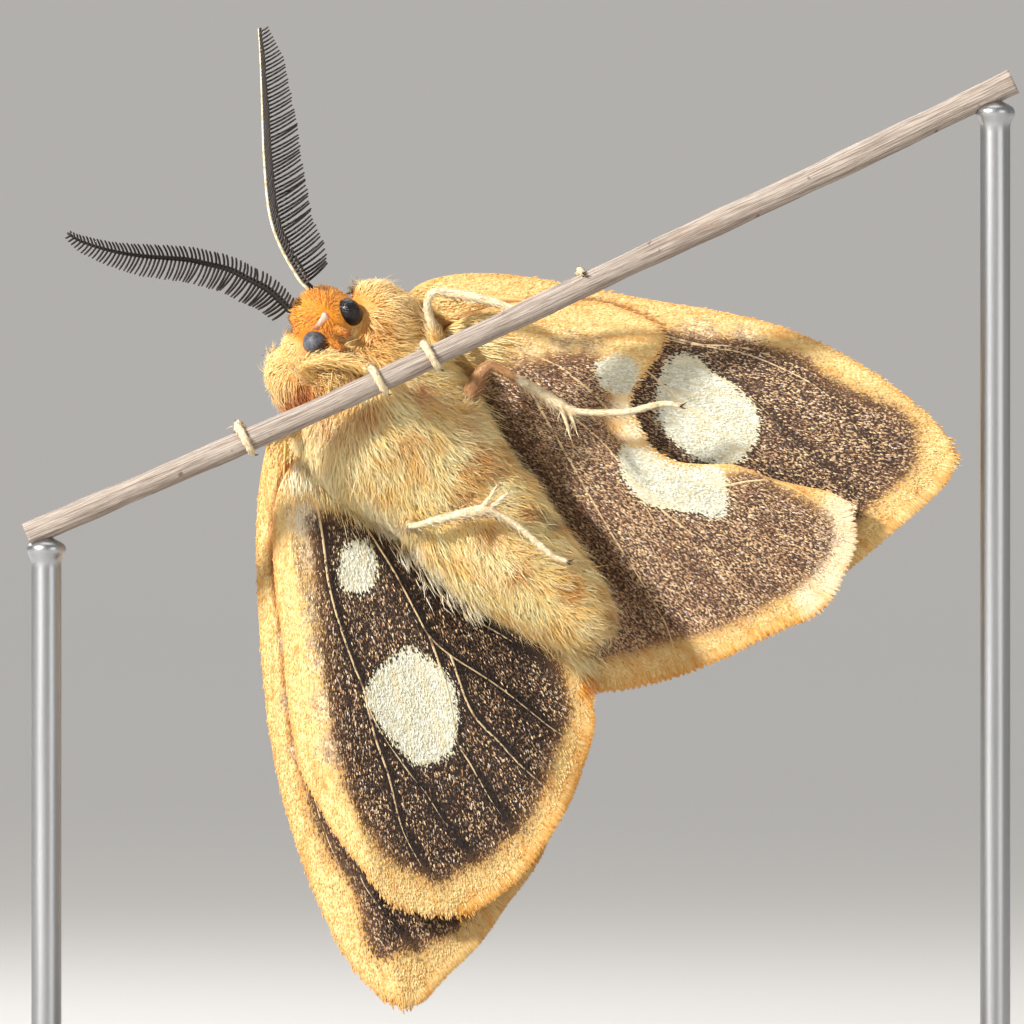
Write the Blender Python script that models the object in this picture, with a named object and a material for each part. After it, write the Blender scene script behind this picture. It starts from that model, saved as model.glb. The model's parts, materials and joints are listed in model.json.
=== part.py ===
# Four-spot anthelid moth gripping a cut length of stem, life size, on a plain display stand.
# The pose is laid out on an upright view grid of 1024 by 1024 units, 25 to the millimetre,
# seen along +Y. Depths are millimetres behind the stem's axis. Shapes are made in millimetres
# and brought to metres at the end.

import math
import random

import bmesh
import bpy
from mathutils import Matrix, Vector
from mathutils.geometry import delaunay_2d_cdt

MM = 0.001
GRID = 25.0          # view grid units to the millimetre
VIEW_HEIGHT = 27.0   # the view's centre above the floor
STEM_Y = -4.0        # the stem's axis ahead of the base's centre
GAP = 0.3            # between touching nodes

# The body's own line on the view grid: the head's centre, and the way from head to tail.
HEAD_CENTRE = (322, 322)
ALONG = (0.613, 0.790)

# Body sections: along, side (the moth's left is +), depth, half width, half depth.
THORAX = [(0.2, 0.0, 4.9, 1.5, 1.3), (0.9, -0.1, 4.7, 2.4, 2.1), (2.2, -0.3, 4.45, 3.0, 2.75),
          (3.6, -0.45, 4.4, 3.35, 3.05), (5.0, -0.5, 4.4, 3.4, 3.05), (6.4, -0.35, 4.45, 3.1, 2.8),
          (7.6, -0.15, 4.45, 2.7, 2.45), (8.5, -0.05, 4.45, 2.35, 2.2)]
ABDOMEN = [(8.85, 0.0, 4.45, 2.3, 2.15), (10.2, 0.05, 4.45, 2.35, 2.2), (11.8, 0.15, 4.4, 2.2, 2.1),
           (13.4, 0.45, 4.35, 1.9, 1.85), (15.0, 0.8, 4.3, 1.5, 1.55), (16.2, 0.95, 4.3, 1.05, 1.15)]
WAIST = 8.55         # where the thorax ends, along the body

HEAD = [(-1.3, 0.1, 2.8, 0.5, 0.45), (-0.95, 0.1, 2.8, 1.05, 1.0), (-0.3, 0.15, 2.8, 1.42, 1.35),
        (0.45, 0.18, 2.85, 1.48, 1.35), (1.05, 0.15, 2.95, 1.15, 1.05), (1.45, 0.1, 3.0, 0.6, 0.55)]
EYE_RADIUS = 0.62
EYES = {"left": (0.39, 1.13, 2.05), "right": (0.57, -0.68, 2.05)}

STEM = {"radius": 0.46, "line": [(30, 535), (200, 462), (320, 410), (434, 357), (640, 260),
                                 (820, 176), (1010, 84)]}
STAND = {"width": 46.0, "depth": 26.0, "height": 3.0, "bevel": 0.8, "rod": 0.68, "rods": (-18.5, 19.2)}

WING = {"half": 0.26, "ridge": 0.15, "foot": 0.45, "apart": 1.15}


def at(px, py, depth):
    return Vector(((px - 512) / GRID, STEM_Y + depth, VIEW_HEIGHT + (512 - py) / GRID))


def body_grid(along, side):
    return (HEAD_CENTRE[0] + (ALONG[0] * along + ALONG[1] * side) * GRID,
            HEAD_CENTRE[1] + (ALONG[1] * along - ALONG[0] * side) * GRID)


def body(along, side, depth):
    return at(*body_grid(along, side), depth)


def smoothstep(t):
    t = min(1.0, max(0.0, t))
    return t * t * (3 - 2 * t)


# Catmull-Rom curve through the points, with this many steps between two of them.
def curve(points, steps):
    p = [2 * points[0] - points[1], *points, 2 * points[-1] - points[-2]]
    out = []
    for i in range(1, len(p) - 2):
        for k in range(steps):
            t = k / steps
            out.append(0.5 * ((2 * p[i]) + (p[i + 1] - p[i - 1]) * t
                              + (2 * p[i - 1] - 5 * p[i] + 4 * p[i + 1] - p[i + 2]) * t * t
                              + (3 * p[i] - 3 * p[i + 1] + p[i + 2] - p[i - 1]) * t ** 3))
    return [*out, points[-1]]


# The same line with points at an even spacing, its ends kept.
def spaced(line, spacing):
    lengths = [(b - a).length for a, b in zip(line, line[1:])]
    count = max(1, round(sum(lengths) / spacing))
    out, i, gone = [line[0]], 0, 0.0
    for k in range(1, count):
        goal = sum(lengths) * k / count
        while gone + lengths[i] < goal:
            gone += lengths[i]
            i += 1
        out.append(line[i].lerp(line[i + 1], (goal - gone) / lengths[i]))
    return [*out, line[-1]]


def solid(name, vertices, faces):
    mesh = bpy.data.meshes.new(name)
    mesh.from_pydata([tuple(v) for v in vertices], [], faces)
    bm = bmesh.new()
    bm.from_mesh(mesh)
    bmesh.ops.recalc_face_normals(bm, faces=bm.faces)
    bm.to_mesh(mesh)
    bm.free()
    ob = bpy.data.objects.new(name, mesh)
    bpy.context.scene.collection.objects.link(ob)
    return ob


# A closed solid over rings of equal count, with a point past each end.
def skinned(name, rings, start, end):
    n = len(rings[0])
    vertices = [v for ring in rings for v in ring] + [start, end]
    faces = []
    for r in range(len(rings) - 1):
        for k in range(n):
            a, b = r * n + k, r * n + (k + 1) % n
            faces.append((a, b, b + n, a + n))
    last = (len(rings) - 1) * n
    for k in range(n):
        faces.append(((k + 1) % n, k, len(vertices) - 2))
        faces.append((last + k, last + (k + 1) % n, len(vertices) - 1))
    return solid(name, vertices, faces)


# A round tube along a path, its radius given at each point, with a low cone on each end.
def tube(name, path, radii, sides=8, cap=0.5):
    side = Vector((0.31, 0.77, 0.55))
    rings = []
    for i, p in enumerate(path):
        ahead = (path[min(i + 1, len(path) - 1)] - path[max(i - 1, 0)]).normalized()
        side = (side - ahead * side.dot(ahead)).normalized()
        up = ahead.cross(side)
        rings.append([p + (side * math.cos(t) + up * math.sin(t)) * radii[i]
                      for t in (math.tau * k / sides for k in range(sides))])
    start = path[0] - (path[1] - path[0]).normalized() * radii[0] * cap
    end = path[-1] + (path[-1] - path[-2]).normalized() * radii[-1] * cap
    return skinned(name, rings, start, end)


# Side, depth and half sizes of a body part at a place along it.
def section(stations, along):
    for lower, upper in zip(stations, stations[1:]):
        if along <= upper[0]:
            break
    t = (along - lower[0]) / (upper[0] - lower[0])
    return [p + (q - p) * t for p, q in zip(lower[1:], upper[1:])]


def on_body(stations, along, turn, out=0.0):
    side, depth, wide, deep = section(stations, along)
    return body(along, side + (wide + out) * math.cos(turn), depth + (deep + out) * math.sin(turn))


def loft(name, stations, sides, out, nose, tail):
    rings = [[on_body(stations, s[0], math.tau * (k + 0.5) / sides, out) for k in range(sides)]
             for s in stations]
    first, last = stations[0], stations[-1]
    return skinned(name, rings, body(first[0] - nose, first[1], first[2]),
                   body(last[0] + tail, last[1], last[2]))


def ball(name, centre, radii, turn=None, segments=14, rings=9):
    turn = turn or Matrix.Identity(3)
    grid = [[centre + turn @ Vector((radii[0] * math.cos(f) * math.sin(g),
                                     radii[1] * math.sin(f) * math.sin(g), -radii[2] * math.cos(g)))
             for f in (math.tau * k / segments for k in range(segments))]
            for g in (math.pi * r / rings for r in range(1, rings))]
    axis = turn @ Vector((0, 0, radii[2]))
    return skinned(name, grid, centre - axis, centre + axis)


# A copy of a node moved out along its normals, to cut a neighbour clear of it.
def grown(ob, by=GAP):
    bm = bmesh.new()
    bm.from_mesh(ob.data)
    bm.normal_update()
    moved = [v.co + v.normal * by * min(v.calc_shell_factor(), 1.6) for v in bm.verts]
    for v, co in zip(bm.verts, moved):
        v.co = co
    mesh = bpy.data.meshes.new(ob.name + "_grown")
    bm.to_mesh(mesh)
    bm.free()
    copy = bpy.data.objects.new(mesh.name, mesh)
    bpy.context.scene.collection.objects.link(copy)
    return copy


# One Boolean with all the others at once. They are removed, and the largest body is kept.
def merge(ob, others, operation):
    group = bpy.data.collections.new("others")
    for other in others:
        group.objects.link(other)
    boolean = ob.modifiers.new(operation.lower(), "BOOLEAN")
    boolean.operation, boolean.solver = operation, "EXACT"
    boolean.operand_type, boolean.collection = "COLLECTION", group
    mesh = bpy.data.meshes.new_from_object(ob.evaluated_get(bpy.context.evaluated_depsgraph_get()))
    ob.modifiers.remove(boolean)
    ob.data = mesh
    for other in others:
        bpy.data.objects.remove(other)
    bpy.data.collections.remove(group)
    keep_largest(ob)
    return ob


def keep_largest(ob):
    bm = bmesh.new()
    bm.from_mesh(ob.data)
    bmesh.ops.triangulate(bm, faces=bm.faces)
    bodies, seen = [], set()
    for face in bm.faces:
        if face in seen:
            continue
        found, stack = [], [face]
        seen.add(face)
        while stack:
            f = stack.pop()
            found.append(f)
            for edge in f.edges:
                for near in edge.link_faces:
                    if near not in seen:
                        seen.add(near)
                        stack.append(near)
        volume = sum(f.verts[0].co.dot(f.verts[1].co.cross(f.verts[2].co)) for f in found)
        bodies.append((volume, found))
    largest = max(bodies, key=lambda b: b[0])[1]
    drop = [f for _, found in bodies if found is not largest for f in found]
    bmesh.ops.delete(bm, geom=drop, context="FACES")
    bm.to_mesh(ob.data)
    bm.free()


# Stem and stand
def stem_centre(px):
    line = [Vector((x, y)) for x, y in STEM["line"]]
    for a, b in zip(line, line[1:]):
        if px <= b.x:
            return a.lerp(b, (px - a.x) / (b.x - a.x))


def make_stem():
    path = spaced(curve([at(x, y, 0) for x, y in STEM["line"]], 4), 2.6)
    return tube("stem", path, [STEM["radius"]] * len(path), 10, 0.15)


def make_stand():
    bm = bmesh.new()
    bmesh.ops.create_cube(bm, size=1.0)
    for v in bm.verts:
        v.co = Vector((v.co.x * STAND["width"], v.co.y * STAND["depth"], (v.co.z + 0.5) * STAND["height"]))
    edges = [e for e in bm.edges if max(v.co.z for v in e.verts) > 0.1]
    bmesh.ops.bevel(bm, geom=edges, offset=STAND["bevel"], segments=2, affect="EDGES", profile=0.5)
    mesh = bpy.data.meshes.new("stand_base")
    bm.to_mesh(mesh)
    bm.free()
    bpy.context.scene.collection.objects.link(bpy.data.objects.new("stand_base", mesh))
    for name, x in zip(("stand_rod_left", "stand_rod_right"), STAND["rods"]):
        top = at(*stem_centre(512 + x * GRID), 0)
        foot = Vector((x, STEM_Y, STAND["height"] + GAP))
        path = [foot, foot.lerp(top, 0.5), Vector((x, STEM_Y, top.z))]
        rod = tube(name, path, [STAND["rod"]] * 3, 10, 0.0)
        merge(rod, [grown(bpy.data.objects["stem"])], "DIFFERENCE")


# Wings. Outlines run round from the root: costa, outer margin, inner margin, and the root's edge
# closes them. Lines of veins are parts of the way from the root to the apex and to the hind angle.
CHORDS = {"left": ((420, 281), (538, 179)), "right": (((268, 448), (137, 561)))}
FORE_VEINS = [[(0.10, -0.12), (0.35, -0.28), (0.62, -0.30), (0.85, -0.22)],
              [(0.08, 0.0), (0.25, -0.03), (0.40, -0.05)],
              [(0.46, -0.13), (0.65, -0.14), (0.93, -0.10)],
              [(0.47, 0.0), (0.68, 0.0), (0.97, 0.03)],
              [(0.46, 0.12), (0.66, 0.15), (0.88, 0.18)],
              [(0.20, 0.14), (0.44, 0.24), (0.58, 0.32), (0.70, 0.37)],
              [(0.34, 0.35), (0.43, 0.45), (0.50, 0.56)],
              [(0.07, 0.12), (0.14, 0.40), (0.22, 0.72)]]
HIND_VEINS = [[(0.10, 0.05), (0.26, 0.10), (0.45, 0.11), (0.68, 0.09), (0.94, 0.07)],
              [(0.42, 0.22), (0.66, 0.22), (0.88, 0.22)],
              [(0.09, 0.14), (0.22, 0.25), (0.40, 0.32), (0.56, 0.37), (0.74, 0.40)],
              [(0.32, 0.40), (0.44, 0.50), (0.56, 0.58)],
              [(0.24, 0.46), (0.31, 0.60), (0.37, 0.76)],
              [(0.08, 0.24), (0.14, 0.42), (0.17, 0.62), (0.19, 0.88)]]
WINGS = {
    "forewing_left": {
        "corners": ((430, 330), (955, 455), (730, 640)),
        "runs": ([(400, 312), (412, 289), (440, 277), (480, 273), (530, 277), (600, 290), (660, 301),
                  (730, 313), (800, 333), (870, 370), (920, 408), (948, 437), (958, 460)],
                 [(958, 460), (950, 482), (925, 508), (890, 538), (855, 568), (800, 606), (730, 640)],
                 [(730, 640), (650, 560), (560, 480), (492, 408), (434, 356)])},
    "forewing_right": {
        "corners": ((315, 435), (400, 1003), (570, 775)),
        "runs": ([(291, 409), (272, 430), (260, 480), (256, 540), (258, 610), (263, 680), (271, 745),
                  (285, 810), (305, 870), (330, 930), (355, 970), (382, 998), (405, 1009)],
                 [(405, 1009), (425, 1003), (445, 981), (480, 947), (510, 905), (545, 855), (570, 775)],
                 [(570, 775), (515, 725), (450, 660), (392, 590), (352, 535), (331, 461)])},
    "hindwing_left": {
        "corners": ((450, 365), (850, 510), (620, 690)),
        "runs": ([(427, 348), (455, 322), (505, 304), (582, 301), (620, 308), (655, 324), (664, 338),
                  (658, 352), (646, 371), (632, 390), (631, 408), (640, 428), (650, 447), (673, 459),
                  (700, 463), (736, 465), (774, 477), (808, 486), (838, 494), (854, 505)],
                 [(854, 505), (857, 527), (853, 560), (838, 590), (820, 613), (790, 628), (760, 645),
                  (720, 664), (680, 680), (640, 691), (601, 695)],
                 [(601, 695), (580, 650), (532, 572), (503, 495), (484, 434), (461, 391)])},
    "hindwing_right": {
        "corners": ((335, 465), (455, 915), (590, 695)),
        "runs": ([(312, 437), (288, 470), (276, 500), (273, 550), (277, 600), (283, 640), (287, 691),
                  (296, 750), (303, 775), (317, 801), (332, 828), (354, 857), (387, 899), (415, 912),
                  (444, 916), (470, 915)],
                 [(470, 915), (485, 908), (520, 882), (550, 842), (575, 800), (590, 760), (598, 725),
                  (594, 698)],
                 [(594, 698), (569, 662), (515, 590), (450, 539), (396, 518), (352, 488)])}}


# The wings lie like a low roof, higher over the back.
def wing_depth(name, px, py):
    start, run = CHORDS[name.split("_")[1]]
    length = math.hypot(*run)
    inward = abs(run[0] * (py - start[1]) - run[1] * (px - start[0])) / length / GRID
    dx, dy = (px - HEAD_CENTRE[0]) / GRID, (py - HEAD_CENTRE[1]) / GRID
    beside = abs(ALONG[1] * dx - ALONG[0] * dy)
    depth = 4.0 + 0.40 * inward - 0.008 * inward ** 2 + 1.8 * smoothstep((4.8 - beside) / 3.2)
    return depth - (WING["apart"] if name.startswith("hind") else 0.0)


def distance(p, line):
    best = 1e9
    for a, b in zip(line, line[1:]):
        run = b - a
        t = max(0.0, min(1.0, (p - a).dot(run) / run.length_squared))
        best = min(best, (p - a - run * t).length)
    return best


def inside(p, loop):
    hit = False
    for a, b in zip(loop, loop[1:] + loop[:1]):
        if (a.y > p.y) != (b.y > p.y) and p.x < a.x + (p.y - a.y) / (b.y - a.y) * (b.x - a.x):
            hit = not hit
    return hit


def make_wing(name, form):
    rim = []
    for points, spacing in zip(form["runs"], (1.1, 1.0, 2.2)):
        rim += spaced(curve([Vector(p) / GRID for p in points], 4), spacing)[:-1]
    rim.append(Vector(form["runs"][-1][-1]) / GRID)
    root, apex, angle = (Vector(c) / GRID for c in form["corners"])
    veins = []
    for line in FORE_VEINS if name.startswith("fore") else HIND_VEINS:
        points = [root + (apex - root) * u + (angle - root) * v for u, v in line]
        veins.append(spaced(curve(points, 3), 2.3))
    closed = rim + rim[:1]
    points, edges = list(rim), [(i, (i + 1) % len(rim)) for i in range(len(rim))]
    for vein in veins:
        kept = [p for p in vein if inside(p, rim) and distance(p, closed) > 0.55]
        edges += [(len(points) + i, len(points) + i + 1) for i in range(len(kept) - 1)]
        points += kept
    crests = len(points)
    for vein in veins:
        for i, p in enumerate(vein):
            way = (vein[min(i + 1, len(vein) - 1)] - vein[max(i - 1, 0)]).normalized()
            for side in (-1, 1):
                foot = p + Vector((-way.y, way.x)) * side * WING["foot"]
                clear = min([distance(foot, v) for v in veins if v is not vein])
                if inside(foot, rim) and distance(foot, closed) > 0.3 and clear > 0.5:
                    points.append(foot)
    step = 2.6
    for i in range(60):
        for j in range(60):
            p = Vector(((i + 0.5 * (j % 2)) * step, j * step * 0.87))
            if inside(p, rim) and distance(p, closed) > 0.9 and min(distance(p, v) for v in veins) > 1.1:
                points.append(p)
    flat, _, faces, _, _, _ = delaunay_2d_cdt(points, edges, [], 1, 1e-4)
    front, back = [], []
    for p in flat:
        ridge = WING["ridge"] * max(0.0, 1 - min(distance(p, v) for v in veins) / WING["foot"])
        if distance(p, closed) < 0.05:
            ridge = 0.0
        depth = wing_depth(name, p.x * GRID, p.y * GRID)
        front.append(at(p.x * GRID, p.y * GRID, depth - WING["half"] - ridge))
        back.append(at(p.x * GRID, p.y * GRID, depth + WING["half"] + ridge))
    n = len(flat)
    uses = {}
    for f in faces:
        for a, b in zip(f, f[1:] + f[:1]):
            uses[(a, b)] = True
    border = [(a, b) for a, b in uses if (b, a) not in uses]
    both = [tuple(f) for f in faces] + [tuple(i + n for i in reversed(f)) for f in faces]
    both += [t for a, b in border for t in ((b, a, a + n), (b, a + n, b + n))]
    return solid(name, front + back, both)


# Legs. Each path is view grid points with a depth and the leg's radius there.
# Points of a foot laid round the stem, by the turn from the front over the top.
def grip(px, first, last, steps):
    centre = at(*stem_centre(px), 0)
    ahead = (at(*stem_centre(px + 5), 0) - at(*stem_centre(px - 5), 0)).normalized()
    front = Vector((0, -1, 0))
    up = front.cross(ahead).normalized()
    up = up if up.z > 0 else -up
    reach = STEM["radius"] + GAP + 0.27
    turns = [math.radians(first + (last - first) * k / steps) for k in range(steps + 1)]
    return [centre + (front * math.cos(t) + up * math.sin(t)) * reach for t in turns]


LEGS = {
    "fore_leg_left": {"path": [(396, 360, 2.6, 0.36), (409, 347, 1.8, 0.34), (419, 341, 1.2, 0.29)],
                      "grip": (429, 112, -62)},
    "fore_leg_right": {"path": [(338, 392, 2.5, 0.38), (318, 377, 1.7, 0.38), (304, 366, 1.1, 0.34),
                                (326, 363, 0.8, 0.34), (352, 363, 0.68, 0.31)],
                       "grip": (377, 105, -62)},
    "mid_leg_left": {"path": [(441, 356, 2.9, 0.4), (434, 334, 2.35, 0.38), (427, 308, 2.1, 0.34),
                              (434, 294, 1.95, 0.32), (460, 295, 1.85, 0.33), (492, 303, 1.65, 0.33),
                              (516, 309, 1.45, 0.3), (545, 300, 1.2, 0.26)],
                     "grip": (583, 150, 50)},
    "mid_leg_right": {"path": [(300, 424, 3.1, 0.38), (280, 431, 2.5, 0.38), (260, 436, 2.0, 0.32),
                               (246, 431, 1.5, 0.28)],
                      "grip": (246, 112, -66)},
    "hind_leg_left": {"path": [(462, 410, 3.3, 0.44), (473, 388, 2.85, 0.42), (484, 368, 2.5, 0.38),
                               (506, 373, 2.5, 0.34), (534, 389, 2.55, 0.33), (562, 407, 2.6, 0.33),
                               (578, 412, 2.6, 0.27), (600, 413, 2.6, 0.25), (628, 411, 2.55, 0.25),
                               (655, 405, 2.5, 0.25), (680, 405, 2.45, 0.22)],
                      "spurs": [((556, 403, 2.5), (569, 435, 2.3)), ((560, 408, 2.55), (574, 427, 2.4))]},
    "hind_leg_right": {"path": [(396, 464, 2.7, 0.42), (399, 496, 2.2, 0.42), (402, 522, 1.8, 0.36),
                                (425, 522, 1.55, 0.32), (458, 515, 1.38, 0.32), (488, 510, 1.3, 0.32),
                                (508, 520, 1.35, 0.26), (530, 537, 1.4, 0.25), (552, 555, 1.45, 0.24),
                                (566, 561, 1.45, 0.2)],
                       "spurs": [((484, 508, 1.25), (497, 487, 1.0)), ((488, 507, 1.3), (508, 492, 1.1))]}}


def make_leg(name, form):
    path = [at(*p[:3]) for p in form["path"]]
    radii = [p[3] for p in form["path"]]
    if "grip" in form:
        foot = grip(*form["grip"], 5)
        path += foot
        radii += [0.27 - 0.02 * k for k in range(len(foot))]
    leg = tube(name, path, radii, 7)
    spurs = [tube("spur", [at(*a), (at(*a) + at(*b)) / 2, at(*b)], [0.24, 0.22, 0.12], 5)
             for a, b in form.get("spurs", [])]
    return merge(leg, spurs, "UNION") if spurs else leg


# Antennae, each with the reach of its comb in the view
ANTENNAE = {
    "antenna_left": {"path": [(311, 289, 2.65), (285, 249, 2.6), (272, 214, 2.5), (267, 170, 2.4),
                              (265, 120, 2.3), (263, 70, 2.15), (260, 30, 2.0)],
                     "turns": (10, 80)},
    "antenna_right": {"path": [(294, 314, 2.7), (269, 291, 2.6), (240, 275, 2.5), (206, 264, 2.4),
                               (170, 259, 2.3), (136, 256, 2.2), (104, 249, 2.1), (70, 235, 1.9)],
                      "turns": (134, 56)}}


COMB = {"pitch": 0.85, "slant": 0.35, "half": 0.25,
        "reach": [(0.0, 0.9), (0.2, 1.5), (0.5, 1.5), (0.8, 1.1), (1.0, 0.5)]}


# A shaft with two rows of tapered vanes, each row turned its own way from the view.
def make_antenna(name, form):
    path = curve([at(*p) for p in form["path"]], 3)
    shaft = spaced(path, 1.0)
    antenna = tube(name, shaft, [0.3 - 0.06 * i / len(shaft) for i in range(len(shaft))], 7)
    places = spaced(path, COMB["pitch"])
    vanes = []
    for i in range(1, len(places) - 1):
        ahead = (places[i + 1] - places[i - 1]).normalized()
        near = Vector((0, -1, 0))
        beside = ahead.cross(near).normalized()
        near = beside.cross(ahead).normalized()
        share = i / (len(places) - 1)
        for (s0, r0), (s1, r1) in zip(COMB["reach"], COMB["reach"][1:]):
            if s0 <= share <= s1:
                reach = r0 + (r1 - r0) * (share - s0) / (s1 - s0)
        for degrees in form["turns"]:
            t = math.radians(degrees)
            level = beside * math.cos(t) + near * math.sin(t)
            way = (level * math.cos(COMB["slant"]) + ahead * math.sin(COMB["slant"])).normalized()
            flank = ahead.cross(level).normalized()
            edge = way.cross(flank).normalized()
            rings = []
            for far, half in ((0.0, COMB["half"]), (0.6, COMB["half"] * 0.8)):
                mid = places[i] + way * reach * far
                rings.append([mid + edge * half, mid + flank * half, mid - edge * half, mid - flank * half])
            vanes.append(skinned("vane", rings, places[i] - way * 0.12, places[i] + way * reach))
    return merge(antenna, vanes, "UNION")


# Coat. Each row of locks is a place along the body, how many lie round it, and their length,
# width, rise off the core and how far they lean from the tail towards the sides.
THORAX_COAT = [(0.8, 7, 1.3, 1.3, 0.75, 0.0), (1.7, 9, 1.8, 1.5, 0.85, 0.1), (2.8, 10, 2.1, 1.6, 0.85, 0.25),
               (3.9, 10, 2.2, 1.6, 0.85, 0.3), (5.0, 10, 2.2, 1.6, 0.85, 0.3), (6.1, 10, 2.1, 1.5, 0.8, 0.2),
               (7.2, 9, 1.9, 1.4, 0.75, 0.1)]
ABDOMEN_COAT = [(9.5, 8, 1.7, 1.4, 0.5, 0.1), (10.8, 8, 1.7, 1.4, 0.5, 0.15), (12.1, 8, 1.7, 1.3, 0.5, 0.2),
                (13.3, 7, 1.6, 1.2, 0.5, 0.2), (14.4, 7, 1.5, 1.1, 0.45, 0.2), (15.4, 6, 1.4, 1.0, 0.4, 0.1)]
HEAD_COAT = [(-0.95, 5, 0.9, 0.9, 0.35, 0.0), (-0.1, 5, 1.1, 0.9, 0.3, 0.0)]


# A flat tapered lock: its root sunk in, rising off the core and bending over to its lie.
def lock(root, out, lie, length, width, rise):
    across = lie.cross(out).normalized()
    line = [root + lie * length * t + out * h
            for t, h in ((0.0, -0.4), (0.38, rise * 0.5), (0.75, rise * 0.92), (1.0, rise))]
    rings = []
    for i, (wide, thick) in enumerate(((0.44, 0.30), (0.5, 0.27), (0.34, 0.2))):
        up = across.cross(line[i + 1] - line[max(i - 1, 0)]).normalized()
        rings.append([line[i] + across * width * wide, line[i] + up * thick,
                      line[i] - across * width * wide, line[i] - up * thick])
    return skinned("lock", rings, line[0] - out * 0.1, line[-1])


def coat(stations, rows, draw):
    locks = []
    for n, (along, count, length, width, rise, lean) in enumerate(rows):
        for k in range(count):
            turn = math.tau * (k + 0.5 * (n % 2) + draw.uniform(-0.12, 0.12)) / count
            root = on_body(stations, along, turn)
            back = (on_body(stations, along + 0.2, turn) - on_body(stations, along - 0.2, turn)).normalized()
            round_ = (on_body(stations, along, turn + 0.1) - on_body(stations, along, turn - 0.1)).normalized()
            out = round_.cross(back).normalized()
            if out.dot(root - body(along, *section(stations, along)[:2])) < 0:
                out = -out
            lie = (back + round_ * (draw.uniform(-0.2, 0.2) + lean * math.cos(turn))).normalized()
            locks.append(lock(root, out, lie, length * draw.uniform(0.85, 1.12), width,
                              rise * draw.uniform(0.85, 1.1)))
    return locks


# A box square to the body, from one place along it to another.
def block(name, start, end, half):
    corners = [body(a, s, 4.5 + d) for a in (start, end) for s, d in
               ((-half, -half), (half, -half), (half, half), (-half, half))]
    return solid(name, corners, [(0, 1, 2, 3), (4, 5, 6, 7), (0, 1, 5, 4), (1, 2, 6, 5), (2, 3, 7, 6), (3, 0, 4, 7)])


def make_head():
    head = loft("head", HEAD, 14, 0.0, 0.15, 0.15)
    locks = coat(HEAD, HEAD_COAT, random.Random(3))
    palps = [tube("palp", [at(330 + s, 322 + s, 1.7), at(342 + s, 330 + s, 1.15), at(351 + s, 337 + s, 1.2)],
                  [0.3, 0.27, 0.18], 6) for s in (-4, 7)]
    return merge(head, locks + palps, "UNION")


def make_body(name, stations, rows, seed, nose, tail):
    core = loft(name, stations, 16, 0.0, nose, tail)
    return merge(core, coat(stations, rows, random.Random(seed)), "UNION")


# Finish of each group of nodes: colour, roughness, metallic
FINISHES = {"thorax": (0.78, 0.52, 0.16), "abdomen": (0.80, 0.56, 0.20), "head": (0.70, 0.36, 0.07),
            "eye": (0.01, 0.01, 0.012), "antenna": (0.08, 0.045, 0.03), "forewing": (0.09, 0.055, 0.04),
            "hindwing": (0.09, 0.055, 0.04), "leg": (0.75, 0.62, 0.36), "stem": (0.42, 0.37, 0.32),
            "base": (0.56, 0.53, 0.49), "rod": (0.5, 0.5, 0.49)}


def finish(ob):
    key = next(k for k in FINISHES if k in ob.name)
    material = bpy.data.materials.new(ob.name)
    material.use_nodes = True
    shader = material.node_tree.nodes["Principled BSDF"]
    shader.inputs["Base Color"].default_value = (*FINISHES[key], 1.0)
    shader.inputs["Roughness"].default_value = {"eye": 0.12, "rod": 0.4}.get(key, 0.75)
    shader.inputs["Metallic"].default_value = 1.0 if key == "rod" else 0.0
    ob.data.materials.clear()
    ob.data.materials.append(material)


def main():
    for ob in list(bpy.data.objects):
        bpy.data.objects.remove(ob)
    make_stem()
    make_stand()
    wings = [make_wing(name, form) for name, form in WINGS.items()]
    legs = [make_leg(name, form) for name, form in LEGS.items()]
    antennae = [make_antenna(name, form) for name, form in ANTENNAE.items()]
    eyes = [ball("eye_" + side, body(*place), [EYE_RADIUS] * 3) for side, place in EYES.items()]
    head = make_head()
    roots = [tube("root", [at(*p) for p in form["path"][:2]], [0.3 + GAP] * 2, 8, 1.0)
             for form in ANTENNAE.values()]
    merge(head, roots + [grown(ob) for ob in eyes + legs[:2]], "DIFFERENCE")
    thorax = make_body("thorax", THORAX, THORAX_COAT, 5, 0.3, 0.3)
    room = loft("room", HEAD, 16, GAP + 0.4, GAP + 0.5, GAP + 0.2)
    beyond = block("beyond", WAIST, WAIST + 6, 8)
    merge(thorax, [room, beyond, *(grown(ob) for ob in wings + legs)], "DIFFERENCE")
    abdomen = make_body("abdomen", ABDOMEN, ABDOMEN_COAT, 8, 0.0, 0.6)
    before = block("before", WAIST + GAP - 3, WAIST + GAP, 8)
    merge(abdomen, [before, *(grown(ob) for ob in wings[2:] + legs[-1:])], "DIFFERENCE")
    for ob in bpy.data.objects:
        ob.data.transform(Matrix.Scale(MM, 4))
        finish(ob)


main()
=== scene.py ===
import json
import math

import bmesh
import bpy
import numpy as np
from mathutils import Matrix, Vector
from mathutils.geometry import delaunay_2d_cdt
from mathutils.kdtree import KDTree

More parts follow.
